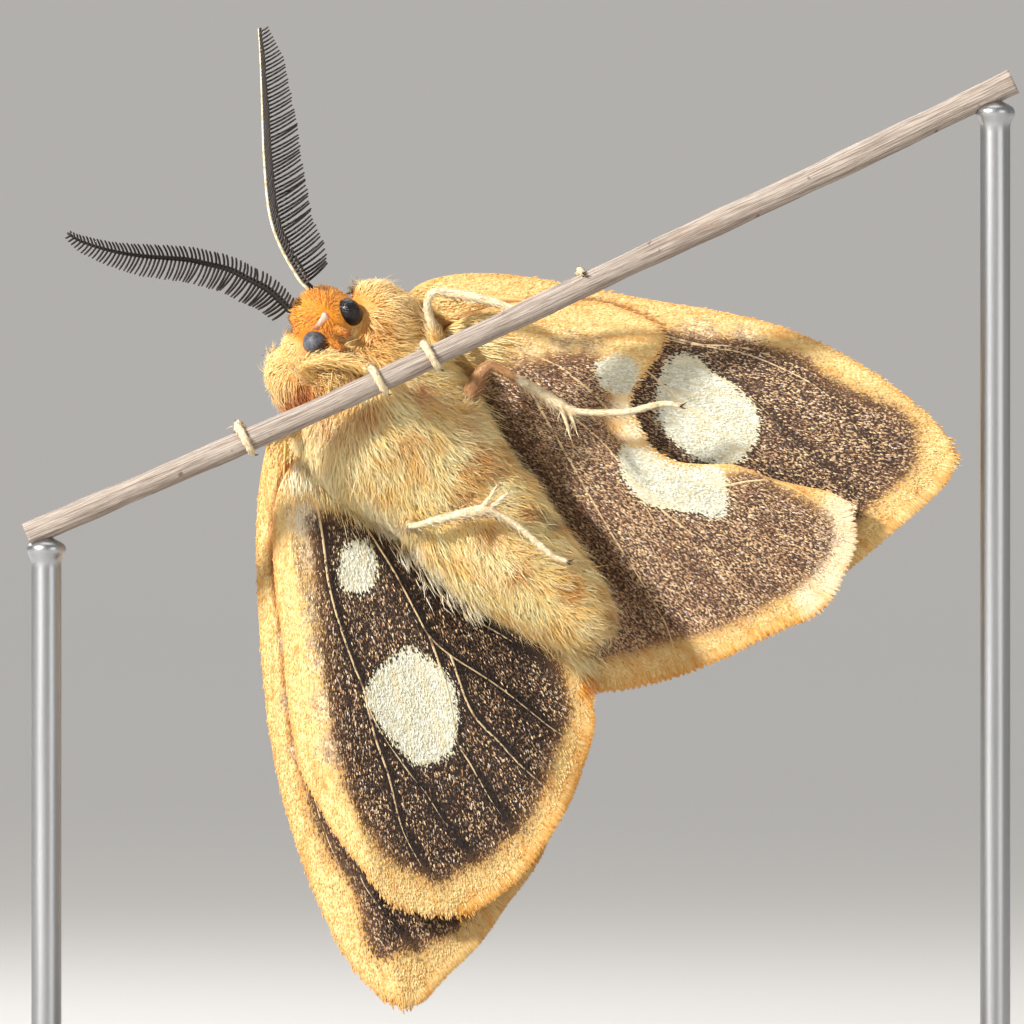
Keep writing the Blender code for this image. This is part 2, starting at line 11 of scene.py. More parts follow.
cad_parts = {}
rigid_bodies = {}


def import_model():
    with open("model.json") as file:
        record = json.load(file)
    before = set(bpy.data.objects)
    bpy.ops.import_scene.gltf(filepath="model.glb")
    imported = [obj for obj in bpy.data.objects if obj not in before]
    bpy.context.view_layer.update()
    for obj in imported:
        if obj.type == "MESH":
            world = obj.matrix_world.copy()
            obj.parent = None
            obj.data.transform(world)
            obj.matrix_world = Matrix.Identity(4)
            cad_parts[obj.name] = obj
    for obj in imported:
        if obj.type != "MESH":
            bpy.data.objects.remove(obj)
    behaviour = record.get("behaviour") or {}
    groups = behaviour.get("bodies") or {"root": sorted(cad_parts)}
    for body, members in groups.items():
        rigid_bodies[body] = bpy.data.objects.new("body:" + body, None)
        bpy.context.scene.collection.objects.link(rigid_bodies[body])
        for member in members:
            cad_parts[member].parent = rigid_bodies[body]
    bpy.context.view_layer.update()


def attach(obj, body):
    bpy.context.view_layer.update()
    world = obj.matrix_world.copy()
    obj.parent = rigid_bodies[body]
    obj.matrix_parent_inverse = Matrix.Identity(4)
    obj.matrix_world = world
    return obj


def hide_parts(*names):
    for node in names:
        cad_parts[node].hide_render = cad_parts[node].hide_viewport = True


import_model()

mm = 0.001
grid, gridMiddle = 25.0, 512.0    # units of the view grid to the millimetre, and its middle
viewHeight, stemDepth = 27.0, -4.0
headCentre = np.array([322.0, 322.0])
alongGrid = np.array([0.613, 0.790])
alongWay, sideWay, backWay = np.array([0.613, 0, -0.790]), np.array([0.790, 0, 0.613]), np.array([0.0, 1, 0])


# places: everything is worked out in millimetres and turned to metres when a mesh is made
def placed(px, py, depth):
    px, py, depth = np.broadcast_arrays(*(np.asarray(v, float) for v in (px, py, depth)))
    return np.stack([(px - gridMiddle) / grid, stemDepth + depth, viewHeight + (gridMiddle - py) / grid], -1)


def bodyPlace(along, side, depth):
    along, side, depth = np.broadcast_arrays(*(np.asarray(v, float) for v in (along, side, depth)))
    start = placed(*headCentre, 0.0)
    return start + along[..., None] * alongWay + side[..., None] * sideWay + depth[..., None] * backWay


def unit(v):
    return v / np.maximum(np.linalg.norm(v, axis=-1, keepdims=True), 1e-9)


def easing(t):
    t = np.clip(t, 0, 1)
    return t * t * (3 - 2 * t)


def curved(points, steps):        # smooth line through the points
    p = np.asarray(points, float)
    p = np.vstack([2 * p[0] - p[1], p, 2 * p[-1] - p[-2]])
    t = (np.arange(steps) / steps)[:, None]
    out = []
    for a, b, c, d in zip(p, p[1:], p[2:], p[3:]):
        square, cube = 2 * a - 5 * b + 4 * c - d, 3 * b - 3 * c + d - a
        out.append(0.5 * (2 * b + (c - a) * t + square * t ** 2 + cube * t ** 3))
    return np.vstack([*out, p[-2:-1]])


def evenly(line, spacing=None, count=None):
    line = np.asarray(line, float)
    gone = np.concatenate([[0], np.cumsum(np.linalg.norm(np.diff(line, axis=0), axis=1))])
    count = count or max(2, int(round(gone[-1] / spacing)) + 1)
    at = np.linspace(0, gone[-1], count)
    return np.stack([np.interp(at, gone, line[:, k]) for k in range(line.shape[1])], -1)


def lineDistance(points, line):   # of many flat points from one line, in its own units
    best = np.full(len(points), 1e9)
    for a, b in zip(line[:-1], line[1:]):
        run = b - a
        t = np.clip((points - a) @ run / max(run @ run, 1e-12), 0, 1)
        best = np.minimum(best, np.linalg.norm(points - a - t[:, None] * run, axis=1))
    return best


def within(points, loop):
    hit = np.zeros(len(points), bool)
    for a, b in zip(loop, np.roll(loop, -1, 0)):
        if a[1] != b[1]:
            crosses = (a[1] > points[:, 1]) != (b[1] > points[:, 1])
            hit ^= crosses & (points[:, 0] < a[0] + (points[:, 1] - a[1]) / (b[1] - a[1]) * (b[0] - a[0]))
    return hit


def signedDistance(points, loop): # millimetres, positive inside
    d = lineDistance(points, np.vstack([loop, loop[:1]])) / grid
    return np.where(within(points, loop), d, -d)


# meshes
def makePiece(name, points, faces, floats=None, uv=None, smooth=True, shade=None):
    mesh = bpy.data.meshes.new(name)
    faces = np.asarray(faces, np.int32)
    mesh.vertices.add(len(points))
    mesh.vertices.foreach_set("co", (np.asarray(points) * mm).astype(np.float32).ravel())
    mesh.loops.add(faces.size)
    mesh.loops.foreach_set("vertex_index", faces.ravel())
    mesh.polygons.add(len(faces))
    mesh.polygons.foreach_set("loop_start", np.arange(0, faces.size, faces.shape[1], dtype=np.int32))
    mesh.polygons.foreach_set("use_smooth", np.full(len(faces), smooth))
    mesh.update(calc_edges=True)
    for key, values in (floats or {}).items():
        mesh.attributes.new(key, "FLOAT", "POINT").data.foreach_set("value", np.asarray(values, np.float32))
    if uv is not None:
        layer = mesh.uv_layers.new(name="OFBake")
        layer.data.foreach_set("uv", np.asarray(uv, np.float32)[faces.ravel()].ravel())
    if shade is not None:
        mesh.normals_split_custom_set_from_vertices(shade)
    piece = bpy.data.objects.new(name, mesh)
    bpy.context.scene.collection.objects.link(piece)
    return piece


def finishPiece(piece, material, nodes=()):
    piece.data.materials.clear()
    piece.data.materials.append(material)
    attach(piece, "root")
    if nodes:
        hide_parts(*nodes)
    return piece


def ringFaces(rows, around):      # rings one after another, then a point for each end
    k, faces = np.arange(around), []
    after = (k + 1) % around
    for start in range(0, (rows - 1) * around, around):
        a, b = start + k, start + after
        faces += [np.stack([a, b, b + around], -1), np.stack([a, b + around, a + around], -1)]
    last, top = (rows - 1) * around, np.full(around, rows * around)
    ends = [np.stack([after, k, top], -1), np.stack([last + k, last + after, top + 1], -1)]
    return np.vstack(faces + ends)


def tubeMesh(path, radii, sides, flat=1.0, across=(0.31, 0.77, 0.55)):
    path, radii = np.asarray(path, float), np.asarray(radii, float)
    ahead = unit(np.gradient(path, axis=0))
    side, rings = np.asarray(across, float), []
    turn = np.arange(sides) / sides * math.tau
    for p, a, r in zip(path, ahead, radii):
        side = unit(side - a * (side @ a))
        up = np.cross(a, side)
        rings.append(p + r * (np.cos(turn)[:, None] * side + flat * np.sin(turn)[:, None] * up))
    ends = [path[:1] - ahead[:1] * radii[0] * 0.4, path[-1:] + ahead[-1:] * radii[-1] * 0.5]
    return np.vstack(rings + ends), ringFaces(len(path), sides)


def joinMeshes(parts):            # (points, faces, floats) of each, as one
    points = np.vstack([p[0] for p in parts])
    starts = np.cumsum([0] + [len(p[0]) for p in parts[:-1]])
    faces = np.vstack([p[1] + s for p, s in zip(parts, starts)])
    floats = {key: np.concatenate([p[2][key] for p in parts]) for key in parts[0][2]}
    return points, faces, floats


tuft = {                          # where the rings stand along it, how high, how wide, and how flat it is
    "steps": np.array([0.0, 0.52, 1.0]), "heights": (0.0, 0.78, 1.0), "taper": (0.9, 0.85), "thin": 0.5,
    "corners": (math.pi / 2, math.pi * 7 / 6, math.pi * 11 / 6), "shadeTilt": 0.8, "points": 7,
    "patch": 0.0011}


def tuftMesh(roots, lies, outs, lengths, widths, rises, swing=0.0):
    steps, count, size = tuft["steps"], len(roots), tuft["points"]
    across = unit(np.cross(lies, outs))
    line = [roots + lies * (lengths * s)[:, None] + outs * (rises * h - widths * 0.5 * (s == 0))[:, None]
            + swing * s * s for s, h in zip(steps, tuft["heights"])]
    points = np.empty((count, size, 3))
    shade = np.repeat(outs[:, None], size, 1) * tuft["shadeTilt"]
    for ring, taper in enumerate(tuft["taper"]):
        ahead = unit(line[ring + 1] - line[max(ring - 1, 0)])
        up = np.cross(across, ahead)
        reach = widths * 0.5 * taper
        for k, turn in enumerate(tuft["corners"]):
            points[:, ring * 3 + k] = (line[ring] + across * (reach * math.cos(turn))[:, None]
                                       + up * (reach * tuft["thin"] * math.sin(turn))[:, None])
            shade[:, ring * 3 + k] += tuft["shadeTilt"] * (across * math.cos(turn) + up * math.sin(turn))
    points[:, -1] = line[-1]
    one = []
    for k in range(3):
        after = (k + 1) % 3
        one += [(k, after, after + 3), (k, after + 3, k + 3)]
    one += [(3 + k, 3 + (k + 1) % 3, size - 1) for k in range(3)] + [(2, 1, 0)]
    faces = (np.array(one)[None] + (np.arange(count) * size)[:, None, None]).reshape(-1, 3)[:, ::-1]
    tip = np.tile(np.append(np.repeat(steps[:-1], 3), 1.0), count)
    return points.reshape(-1, 3), faces, tip, unit(shade.reshape(-1, 3))


def perPoint(values):             # one value for each tuft, as one for each of its points
    return np.repeat(values, tuft["points"])


def tuftMap(spots):               # a small patch of the map at each root's own place
    patch = np.array([(k % 3, k // 3) for k in range(tuft["points"])]) * tuft["patch"]
    return (np.clip(spots, 0.001, 0.996)[:, None] + patch[None]).reshape(-1, 2)


# shader sums
# every colour is given as it looks, out of 255
def dyed(colour):
    return tuple(((v / 255 + 0.055) / 1.055) ** 2.4 if v > 10 else v / 3295 for v in colour)


class Flow:
    def __init__(self, paint, socket):
        self.paint, self.socket = paint, socket

    def sum(self, operation, first, second):
        return self.paint.node("ShaderNodeMath", {"operation": operation}, {0: first, 1: second})

    def __add__(self, other): return self.sum("ADD", self, other)
    def __radd__(self, other): return self.sum("ADD", other, self)
    def __sub__(self, other): return self.sum("SUBTRACT", self, other)
    def __rsub__(self, other): return self.sum("SUBTRACT", other, self)
    def __mul__(self, other): return self.sum("MULTIPLY", self, other)
    def __rmul__(self, other): return self.sum("MULTIPLY", other, self)


class Paint:
    def __init__(self, name, roughness=0.7, sheen=0.0, specular=0.5, metallic=0.0):
        self.material = bpy.data.materials.new(name)
        self.material.use_nodes = True
        self.tree = self.material.node_tree
        self.shader = self.tree.nodes["Principled BSDF"]
        for key, value in (("Roughness", roughness), ("Sheen Weight", sheen), ("Metallic", metallic),
                           ("Specular IOR Level", specular)):
            self.shader.inputs[key].default_value = value

    def node(self, kind, settings=None, inputs=None, out=0):
        made = self.tree.nodes.new(kind)
        for key, value in (settings or {}).items():
            setattr(made, key, value)
        for key, value in (inputs or {}).items():
            if isinstance(value, Flow):
                self.tree.links.new(value.socket, made.inputs[key])
            elif isinstance(value, tuple) and made.inputs[key].type == "RGBA":
                made.inputs[key].default_value = (*dyed(value), 1.0)
            else:
                made.inputs[key].default_value = value
        return Flow(self, made.outputs[out])

    def read(self, *names):
        flows = [self.node("ShaderNodeAttribute", {"attribute_name": name}, out="Fac") for name in names]
        return flows if len(names) > 1 else flows[0]

    def blend(self, share, first, second):
        return self.node("ShaderNodeMix", {"data_type": "RGBA"}, {0: share, 6: first, 7: second}, 2)

    def coats(self, colour, *over):           # one colour over another, each with its share
        for share, top in over:
            colour = self.blend(share, colour, top)
        return colour

    def ease(self, value, low, high):
        return self.node("ShaderNodeMapRange", {"interpolation_type": "SMOOTHSTEP"},
                         {"Value": value, "From Min": low, "From Max": high})

    def noise(self, scale, where=None, detail=2.0, rough=0.5, stretch=(1, 1, 1)):
        where = where or self.node("ShaderNodeTexCoord", out="Object")
        moved = self.node("ShaderNodeMapping", {}, {"Vector": where, "Scale": stretch})
        return self.node("ShaderNodeTexNoise", {}, {"Vector": moved, "Scale": scale, "Detail": detail,
                                                    "Roughness": rough})

    def streaks(self, across, along):         # noise drawn out along the wing's scales
        spin, reach = self.read("spin", "reach")
        where = self.node("ShaderNodeCombineXYZ", {}, {0: spin * across, 1: reach * along})
        return self.node("ShaderNodeTexNoise", {}, {"Vector": where, "Scale": 1.0, "Detail": 2.0})

    def set(self, **sockets):
        for key, value in sockets.items():
            self.tree.links.new(value.socket, self.shader.inputs[key.replace("_", " ")])
        return self

    def bump(self, height, depth, strength=1.0):
        made = self.node("ShaderNodeBump", {}, {"Height": height, "Distance": depth, "Strength": strength})
        return self.set(Normal=made)


# wings
wing = {
    "half": 0.055,                # half the thickness of the membrane
    "veinRadius": 0.062, "ridge": 0.03,
    "apart": 0.95,                # hind wing in front of fore wing
    "meshStep": 0.24, "rimStep": 0.24,
    "fringeBack": 0.34,           # the membrane stops this far short of the fringe's tips
    "underScales": 118, "upperScales": 42,   # to the square millimetre
    "length": (0.14, 0.27), "width": (0.034, 0.068), "rise": (0.006, 0.034),
    "mapWidth": 640.0,            # grid units across one half of the map
    "fringeStep": 0.8, "fringeEach": 13, "toothPitch": 0.24, "baseSpot": (586, 684)}
chords = {"left": ((420, 281), (538, 179)), "right": ((268, 448), (137, 561))}
# each wing's sheen value below paints its dark field paler and greyer, with more pale specks: a painted sheen
# where that wing catches more light
wings = {
    "forewing_left": {
        "corners": ((430, 330), (955, 455), (730, 640)), "shine": 0.70, "teeth": 0.03, "chalk": [],
        "frost": [(700, 328, 20), (745, 334, 16)],
        "costa": [(400, 312), (412, 289), (440, 277), (480, 273), (530, 277), (600, 290), (660, 301),
                  (730, 313), (800, 333), (870, 370), (920, 408), (948, 437), (958, 460)],
        "outer": [(958, 460), (950, 482), (925, 508), (890, 538), (855, 568), (800, 606), (730, 640)],
        "inner": [(730, 640), (650, 560), (560, 480), (492, 408), (434, 356)],
        "veins": [[(440, 300), (520, 300), (600, 318), (662, 338), (694, 345), (726, 346), (760, 352),
                   (808, 371), (831, 384), (856, 394), (875, 409), (905, 420)],
                  [(560, 315), (640, 330), (700, 345), (745, 354), (785, 370), (815, 386), (842, 409),
                   (862, 436), (882, 458), (908, 486)],
                  [(450, 320), (540, 330), (620, 345), (690, 362), (713, 375), (738, 388), (760, 405),
                   (783, 430), (808, 452), (831, 472), (849, 494), (870, 520)],
                  [(620, 345), (680, 400), (730, 440), (780, 485), (820, 525), (838, 550)],
                  [(460, 340), (560, 400), (640, 460), (700, 520), (760, 570), (792, 594)],
                  [(560, 400), (620, 480), (690, 560), (742, 618)],
                  [(445, 345), (500, 410), (570, 490), (650, 570), (708, 624)]],
        "dark": [(560, 330), (610, 324), (665, 329), (712, 334), (750, 339), (773, 346), (807, 355),
                 (836, 380), (862, 392), (894, 407), (913, 422), (918, 438), (915, 463), (900, 482),
                 (881, 499), (862, 516), (825, 545), (780, 580), (720, 596), (640, 525), (560, 440),
                 (510, 380)],
        "spots": [[(655, 396), (660, 372), (668, 358), (685, 352), (700, 358), (713, 372), (735, 386),
                   (750, 398), (757, 412), (758, 432), (752, 448), (742, 460), (730, 466), (700, 462),
                   (675, 445), (656, 420)],
                  [(575, 372), (600, 362), (618, 378), (610, 402), (585, 408), (570, 392)]]},
    "forewing_right": {
        "corners": ((315, 435), (400, 1003), (570, 775)), "shine": 0.30, "teeth": 0.03, "chalk": [],
        "frost": [(284, 640, 12), (289, 700, 12), (297, 750, 12)],
        "costa": [(291, 409), (272, 430), (260, 480), (256, 540), (258, 610), (263, 680), (271, 745),
                  (285, 810), (305, 870), (330, 930), (355, 970), (382, 998), (405, 1009)],
        "outer": [(405, 1009), (425, 1003), (445, 981), (480, 947), (510, 905), (545, 855), (570, 775)],
        "inner": [(570, 775), (515, 725), (450, 660), (392, 590), (352, 535), (331, 461)],
        "veins": [[(285, 430), (283, 520), (288, 620), (297, 720), (312, 790), (330, 845), (352, 893),
                   (365, 935), (375, 964), (388, 994)],
                  [(292, 520), (300, 620), (318, 720), (340, 800), (358, 868), (368, 891), (394, 925),
                   (416, 951), (440, 978)],
                  [(300, 440), (312, 540), (335, 640), (365, 730), (400, 810), (425, 875), (442, 914),
                   (470, 935), (484, 942)],
                  [(335, 640), (390, 720), (440, 790), (480, 850), (514, 893)],
                  [(320, 450), (365, 550), (420, 650), (480, 740), (530, 815), (554, 840)],
                  [(325, 455), (380, 545), (450, 640), (520, 720), (564, 768)]],
        "dark": [(292, 520), (293, 600), (292, 690), (300, 755), (312, 820), (330, 857), (346, 878),
                 (356, 900), (364, 935), (372, 956), (384, 962), (402, 948), (416, 953), (430, 942),
                 (452, 934), (466, 922), (500, 870), (518, 820), (518, 770), (480, 730), (420, 670),
                 (360, 600), (330, 545)],
        "spots": [[(372, 700), (400, 672), (440, 680), (462, 715), (455, 755), (420, 772), (385, 755)],
                  [(345, 590), (366, 582), (380, 602), (370, 630), (350, 622)]]},
    "hindwing_left": {
        "corners": ((450, 365), (850, 510), (592, 690)), "shine": 1.0, "teeth": 0.13,
        "frost": [(560, 330, 24), (590, 333, 20), (525, 346, 18)], "hair": [(452, 322, 24, 0),
                                                                            (478, 338, 20, 0)],
        "chalk": [(846, 512, 26), (840, 545, 24), (826, 574, 20), (806, 596, 14), (620, 408, 14),
                  (630, 432, 12)],
        "costa": [(427, 348), (455, 322), (505, 304), (582, 301), (620, 308), (655, 324), (664, 338),
                  (658, 352), (646, 371), (632, 390), (631, 408), (640, 428), (650, 445), (673, 460),
                  (700, 464), (736, 465), (771, 478), (803, 486), (830, 492), (854, 505)],
        "outer": [(854, 505), (859, 531), (857, 552), (847, 577), (834, 602), (814, 621), (790, 630),
                  (760, 645), (720, 664), (680, 680), (640, 691), (612, 695), (586, 694)],
        "inner": [(586, 694), (576, 650), (530, 572), (500, 495), (482, 434), (461, 391)],
        "veins": [[(450, 350), (520, 352), (560, 366), (585, 376), (606, 390), (629, 404)],
                  [(560, 366), (600, 400), (640, 450), (690, 480), (722, 486), (746, 504), (771, 541),
                   (791, 562), (806, 580), (822, 604)],
                  [(722, 486), (760, 480), (791, 487), (816, 502), (846, 522)],
                  [(455, 355), (530, 390), (590, 430), (625, 470), (658, 528), (672, 548), (688, 572),
                   (707, 591), (722, 612), (738, 648)],
                  [(625, 470), (660, 508), (700, 540), (745, 585), (780, 626)],
                  [(530, 390), (570, 460), (610, 530), (649, 592), (657, 608), (667, 624), (682, 672)],
                  [(460, 370), (510, 450), (550, 530), (590, 610), (624, 682)]],
        "dark": [(470, 372), (520, 362), (556, 352), (585, 350), (600, 356), (612, 372), (612, 390),
                 (606, 410), (616, 436), (640, 452), (672, 470), (700, 476), (745, 470), (777, 482),
                 (809, 500), (829, 514), (836, 536), (827, 562), (809, 581), (796, 592), (771, 605),
                 (746, 619), (720, 630), (682, 642), (644, 652), (610, 660), (580, 664), (566, 630),
                 (535, 560), (505, 480), (478, 415)],
        "spots": [[(616, 454), (622, 445), (640, 446), (656, 455), (672, 463), (700, 466), (722, 467),
                   (728, 490), (726, 516), (712, 518), (690, 513), (665, 510), (646, 504), (632, 491),
                   (622, 475)],
                  [(592, 362), (610, 355), (634, 358), (636, 380), (626, 396), (606, 390), (596, 378)]]},
    "hindwing_right": {
        "corners": ((335, 465), (455, 915), (590, 695)), "shine": 0.20, "teeth": 0.10,
        "frost": [(295, 505, 24), (299, 555, 24), (304, 605, 24), (311, 655, 22), (318, 705, 20),
                  (327, 750, 17)],
        "hair": [(296, 462, 18, 0.8), (314, 466, 18, 0.3), (340, 482, 20, 0), (364, 500, 18, 0.2),
                 (386, 518, 14, 0.8), (410, 544, 13, 1), (432, 567, 13, 1), (452, 587, 12, 1),
                 (470, 602, 10, 0.8)],
        "chalk": [(303, 520, 16), (430, 552, 12), (456, 576, 10)],
        "costa": [(312, 437), (288, 470), (276, 500), (273, 550), (277, 600), (283, 640), (287, 691),
                  (296, 750), (303, 775), (317, 801), (332, 828), (354, 857), (387, 899), (415, 912),
                  (444, 916), (470, 915)],
        "outer": [(470, 915), (485, 908), (520, 882), (550, 842), (575, 800), (590, 760), (598, 725),
                  (594, 698)],
        "inner": [(594, 698), (584, 664), (536, 596), (462, 536), (396, 512), (352, 486)],
        "veins": [[(300, 470), (291, 540), (300, 640), (316, 740), (345, 815), (372, 860)],
                  [(364, 691), (374, 735), (388, 775), (401, 826), (418, 860), (438, 888), (448, 906)],
                  [(316, 500), (323, 542), (328, 581), (337, 617), (352, 661), (364, 691), (372, 716),
                   (390, 746), (409, 773), (424, 791), (442, 819), (460, 844), (483, 875), (496, 893)],
                  [(429, 637), (447, 690), (457, 742), (469, 763), (489, 798), (506, 822), (522, 847),
                   (536, 858)],
                  [(340, 490), (378, 547), (398, 580), (416, 614), (429, 637), (450, 656), (475, 672),
                   (496, 686), (517, 702), (545, 725), (563, 738), (586, 756)],
                  [(450, 656), (471, 712), (498, 742), (517, 763), (545, 789), (566, 812)],
                  [(350, 495), (405, 560), (440, 598), (464, 615), (496, 633), (529, 654), (553, 668),
                   (588, 694)]],
        "dark": [(304, 512), (310, 560), (317, 615), (323, 680), (332, 745), (342, 781), (354, 811),
                 (369, 836), (391, 862), (420, 877), (440, 883), (475, 864), (488, 858), (511, 840),
                 (530, 820), (540, 795), (550, 775), (558, 745), (568, 728), (571, 694), (545, 640),
                 (505, 612), (470, 585), (430, 562), (385, 532), (345, 512)],
        "spots": [[(338, 566), (345, 545), (358, 537), (370, 542), (377, 560), (375, 580), (368, 592),
                   (352, 592), (341, 583)],
                  [(366, 690), (376, 668), (394, 656), (408, 645), (422, 652), (440, 666), (453, 684),
                   (458, 705), (458, 728), (452, 750), (440, 760), (422, 766), (402, 754), (384, 730),
                   (368, 708)]]}}


def wingDepth(name, px, py):      # the wings lie like a low roof, higher over the back
    start, run = (np.array(v, float) for v in chords[name.split("_")[1]])
    inward = np.abs(run[0] * (py - start[1]) - run[1] * (px - start[0])) / np.hypot(*run) / grid
    beside = np.abs(alongGrid[1] * (px - headCentre[0]) - alongGrid[0] * (py - headCentre[1])) / grid
    depth = 4.0 + 0.40 * inward - 0.008 * inward ** 2 + 1.8 * easing((4.8 - beside) / 3.2)
    return depth - (wing["apart"] if name.startswith("hind") else 0.0)


class WingShape:                  # one wing's outline, veins and markings on the view grid
    def __init__(self, name, form):
        self.name, self.form = name, form
        self.root, self.apex, self.angle = (np.array(c, float) for c in form["corners"])
        self.fan = self.root * 1.35 - 0.35 * self.apex
        runs = {key: evenly(curved(form[key], 6), wing["rimStep"] * grid)
                for key in ("costa", "outer", "inner")}
        self.outer = runs["outer"]
        centre = np.vstack(list(runs.values())).mean(0)
        back = runs["outer"].copy()
        run = np.gradient(back, axis=0)
        normal = unit(np.stack([run[:, 1], -run[:, 0]], -1))
        normal *= np.sign(((centre - back) * normal).sum(1))[:, None]
        fade = np.minimum(1, np.minimum(np.arange(len(back)), np.arange(len(back))[::-1]) / 4)[:, None]
        back += normal * fade * wing["fringeBack"] * grid
        self.rim = np.vstack([runs["costa"][:-1], back[:-1], runs["inner"]])
        self.whole = np.vstack([runs["costa"][:-1], runs["outer"][:-1], runs["inner"]])
        self.front = curved(form["costa"], 3)
        self.above = curved(wings[name.replace("fore", "hind")]["costa"], 3)
        self.veins = [evenly(curved(line, 5), 8) for line in form["veins"]]
        self.dark = evenly(curved(form["dark"] + form["dark"][:1], 3), 12)[:-1]
        self.spots = [evenly(curved(s + s[:1], 4), 6)[:-1] for s in form["spots"]]

    def marks(self, at):          # how far each point lies from every marking's edge, in millimetres
        spin = self.lie(at)
        # points moved just to one side of each vein, to measure the line of painted shade that runs beside it
        beside = at + np.stack([-spin[:, 1], spin[:, 0]], -1) * 0.085 * grid
        chalk, frost = (np.max([np.zeros(len(at))] + [easing(1.4 - np.hypot(*(at - (x, y)).T) / reach)
                                                      for x, y, reach in self.form[key]], 0)
                        for key in ("chalk", "frost"))
        return {"dark": signedDistance(at, self.dark),
                "spot": np.max([signedDistance(at, s) for s in self.spots], 0),
                "vein": np.min([lineDistance(at, v) for v in self.veins], 0) / grid,
                "groove": np.min([lineDistance(beside, v) for v in self.veins], 0) / grid,
                "edge": lineDistance(at, self.outer) / grid, "front": lineDistance(at, self.front) / grid,
                "chalk": chalk, "shine": np.full(len(at), self.form["shine"]),
                "frost": frost, "above": lineDistance(at, self.above) / grid,
                "spin": np.arctan2(spin[:, 1], spin[:, 0]) * 12,
                "reach": np.linalg.norm(at - self.fan, axis=1) / grid,
                "hind": np.full(len(at), float(self.name.startswith("hind")))}

    def lie(self, at):            # the way its scales point, out from the root
        return unit(at - self.fan)

    def middle(self, at, vein):
        depth = wingDepth(self.name, at[:, 0], at[:, 1])
        return depth - wing["ridge"] * (1 - easing(vein / 0.4)) + 0.07 * easing(vein / 1.0)

    def surface(self, at, face, marks):   # face -1 towards the view, +1 away
        return placed(at[:, 0], at[:, 1], self.middle(at, marks["vein"]) + face * wing["half"])

    def wayOnSurface(self, at, way, reach=3.0):
        here = placed(at[:, 0], at[:, 1], wingDepth(self.name, at[:, 0], at[:, 1]))
        there = at + way * reach
        return unit(placed(there[:, 0], there[:, 1], wingDepth(self.name, there[:, 0], there[:, 1])) - here)

    def mapped(self, at, face):   # the sheet laid flat on its own chords, one half of the map to a face
        run, rel = unit(self.apex - self.root), (at - self.root) / wing["mapWidth"]
        u = rel @ run + 0.08
        v = rel @ np.array([-run[1], run[0]]) * np.sign(np.cross(run, self.angle - self.root))
        return np.stack([u * 0.5 + (0.5 if face > 0 else 0.0), v + 0.25], -1).clip(0.001, 0.996)


def wingSheet(shape):
    step, rim = wing["meshStep"] * grid, shape.rim
    low, high = rim.min(0), rim.max(0)
    net = []
    for i, y in enumerate(np.arange(low[1], high[1], step * 0.87)):
        row = np.arange(low[0] + (i % 2) * step / 2, high[0], step)
        net.append(np.stack([row, np.full(len(row), y)], -1))
    net = np.vstack(net)
    closed = np.vstack([rim, rim[:1]])
    net = net[within(net, rim)]
    net = net[lineDistance(net, closed) > step * 0.55]
    points = np.vstack([rim, net])
    edges = [(i, (i + 1) % len(rim)) for i in range(len(rim))]
    flat, _, faces, _, _, _ = delaunay_2d_cdt([Vector(p) for p in points], edges, [], 1, 1e-4)
    flat, faces = np.array([tuple(p) for p in flat]), np.array(faces)
    marks = shape.marks(flat)
    front, back = shape.surface(flat, -1, marks), shape.surface(flat, 1, marks)
    n = len(flat)
    known = {tuple(e) for e in np.vstack([faces[:, [0, 1]], faces[:, [1, 2]], faces[:, [2, 0]]])}
    border = np.array(sorted(e for e in known if (e[1], e[0]) not in known))
    strip = np.vstack([np.stack([border[:, 1], border[:, 0], border[:, 0] + n], -1),
                       np.stack([border[:, 1], border[:, 0] + n, border[:, 1] + n], -1)])
    allFaces = np.vstack([faces, faces[:, ::-1] + n, strip])
    a, b, c = (front[faces[0, k]] for k in range(3))
    if np.cross(b - a, c - a)[1] > 0:
        allFaces = allFaces[:, ::-1]
    floats = {key: np.tile(v, 2) for key, v in marks.items()}
    uv = np.vstack([shape.mapped(flat, -1), shape.mapped(flat, 1)])
    return makePiece(shape.name + "_sheet", np.vstack([front, back]), allFaces, floats, uv)


def wingVeins(shape):             # each vein is a fine tapered rod that stands out on both faces
    parts = []
    for line in shape.veins:
        at = evenly(line, 3.0)
        at = at[within(at, shape.rim)]
        if len(at) < 4:
            continue
        path = placed(at[:, 0], at[:, 1], shape.middle(at, np.zeros(len(at))))
        radii = wing["veinRadius"] * np.linspace(1.25, 0.72, len(at))
        points, faces = tubeMesh(path, radii, 6, across=(0, 1, 0.1))
        marks = shape.marks(at)
        index = np.append(np.repeat(np.arange(len(at)), 6), [0, len(at) - 1])
        parts.append((points, faces, {"dark": marks["dark"][index], "spot": marks["spot"][index]}))
    points, faces, floats = joinMeshes(parts)
    return makePiece(shape.name + "_veins", points, faces, floats)


def raised(lies, face):           # straight out of the face of the wing, across each scale's own line
    outs = unit(np.cross(np.cross(lies, [0, 1.0, 0]), lies))
    return outs * (np.sign(outs[:, 1]) * face)[:, None]


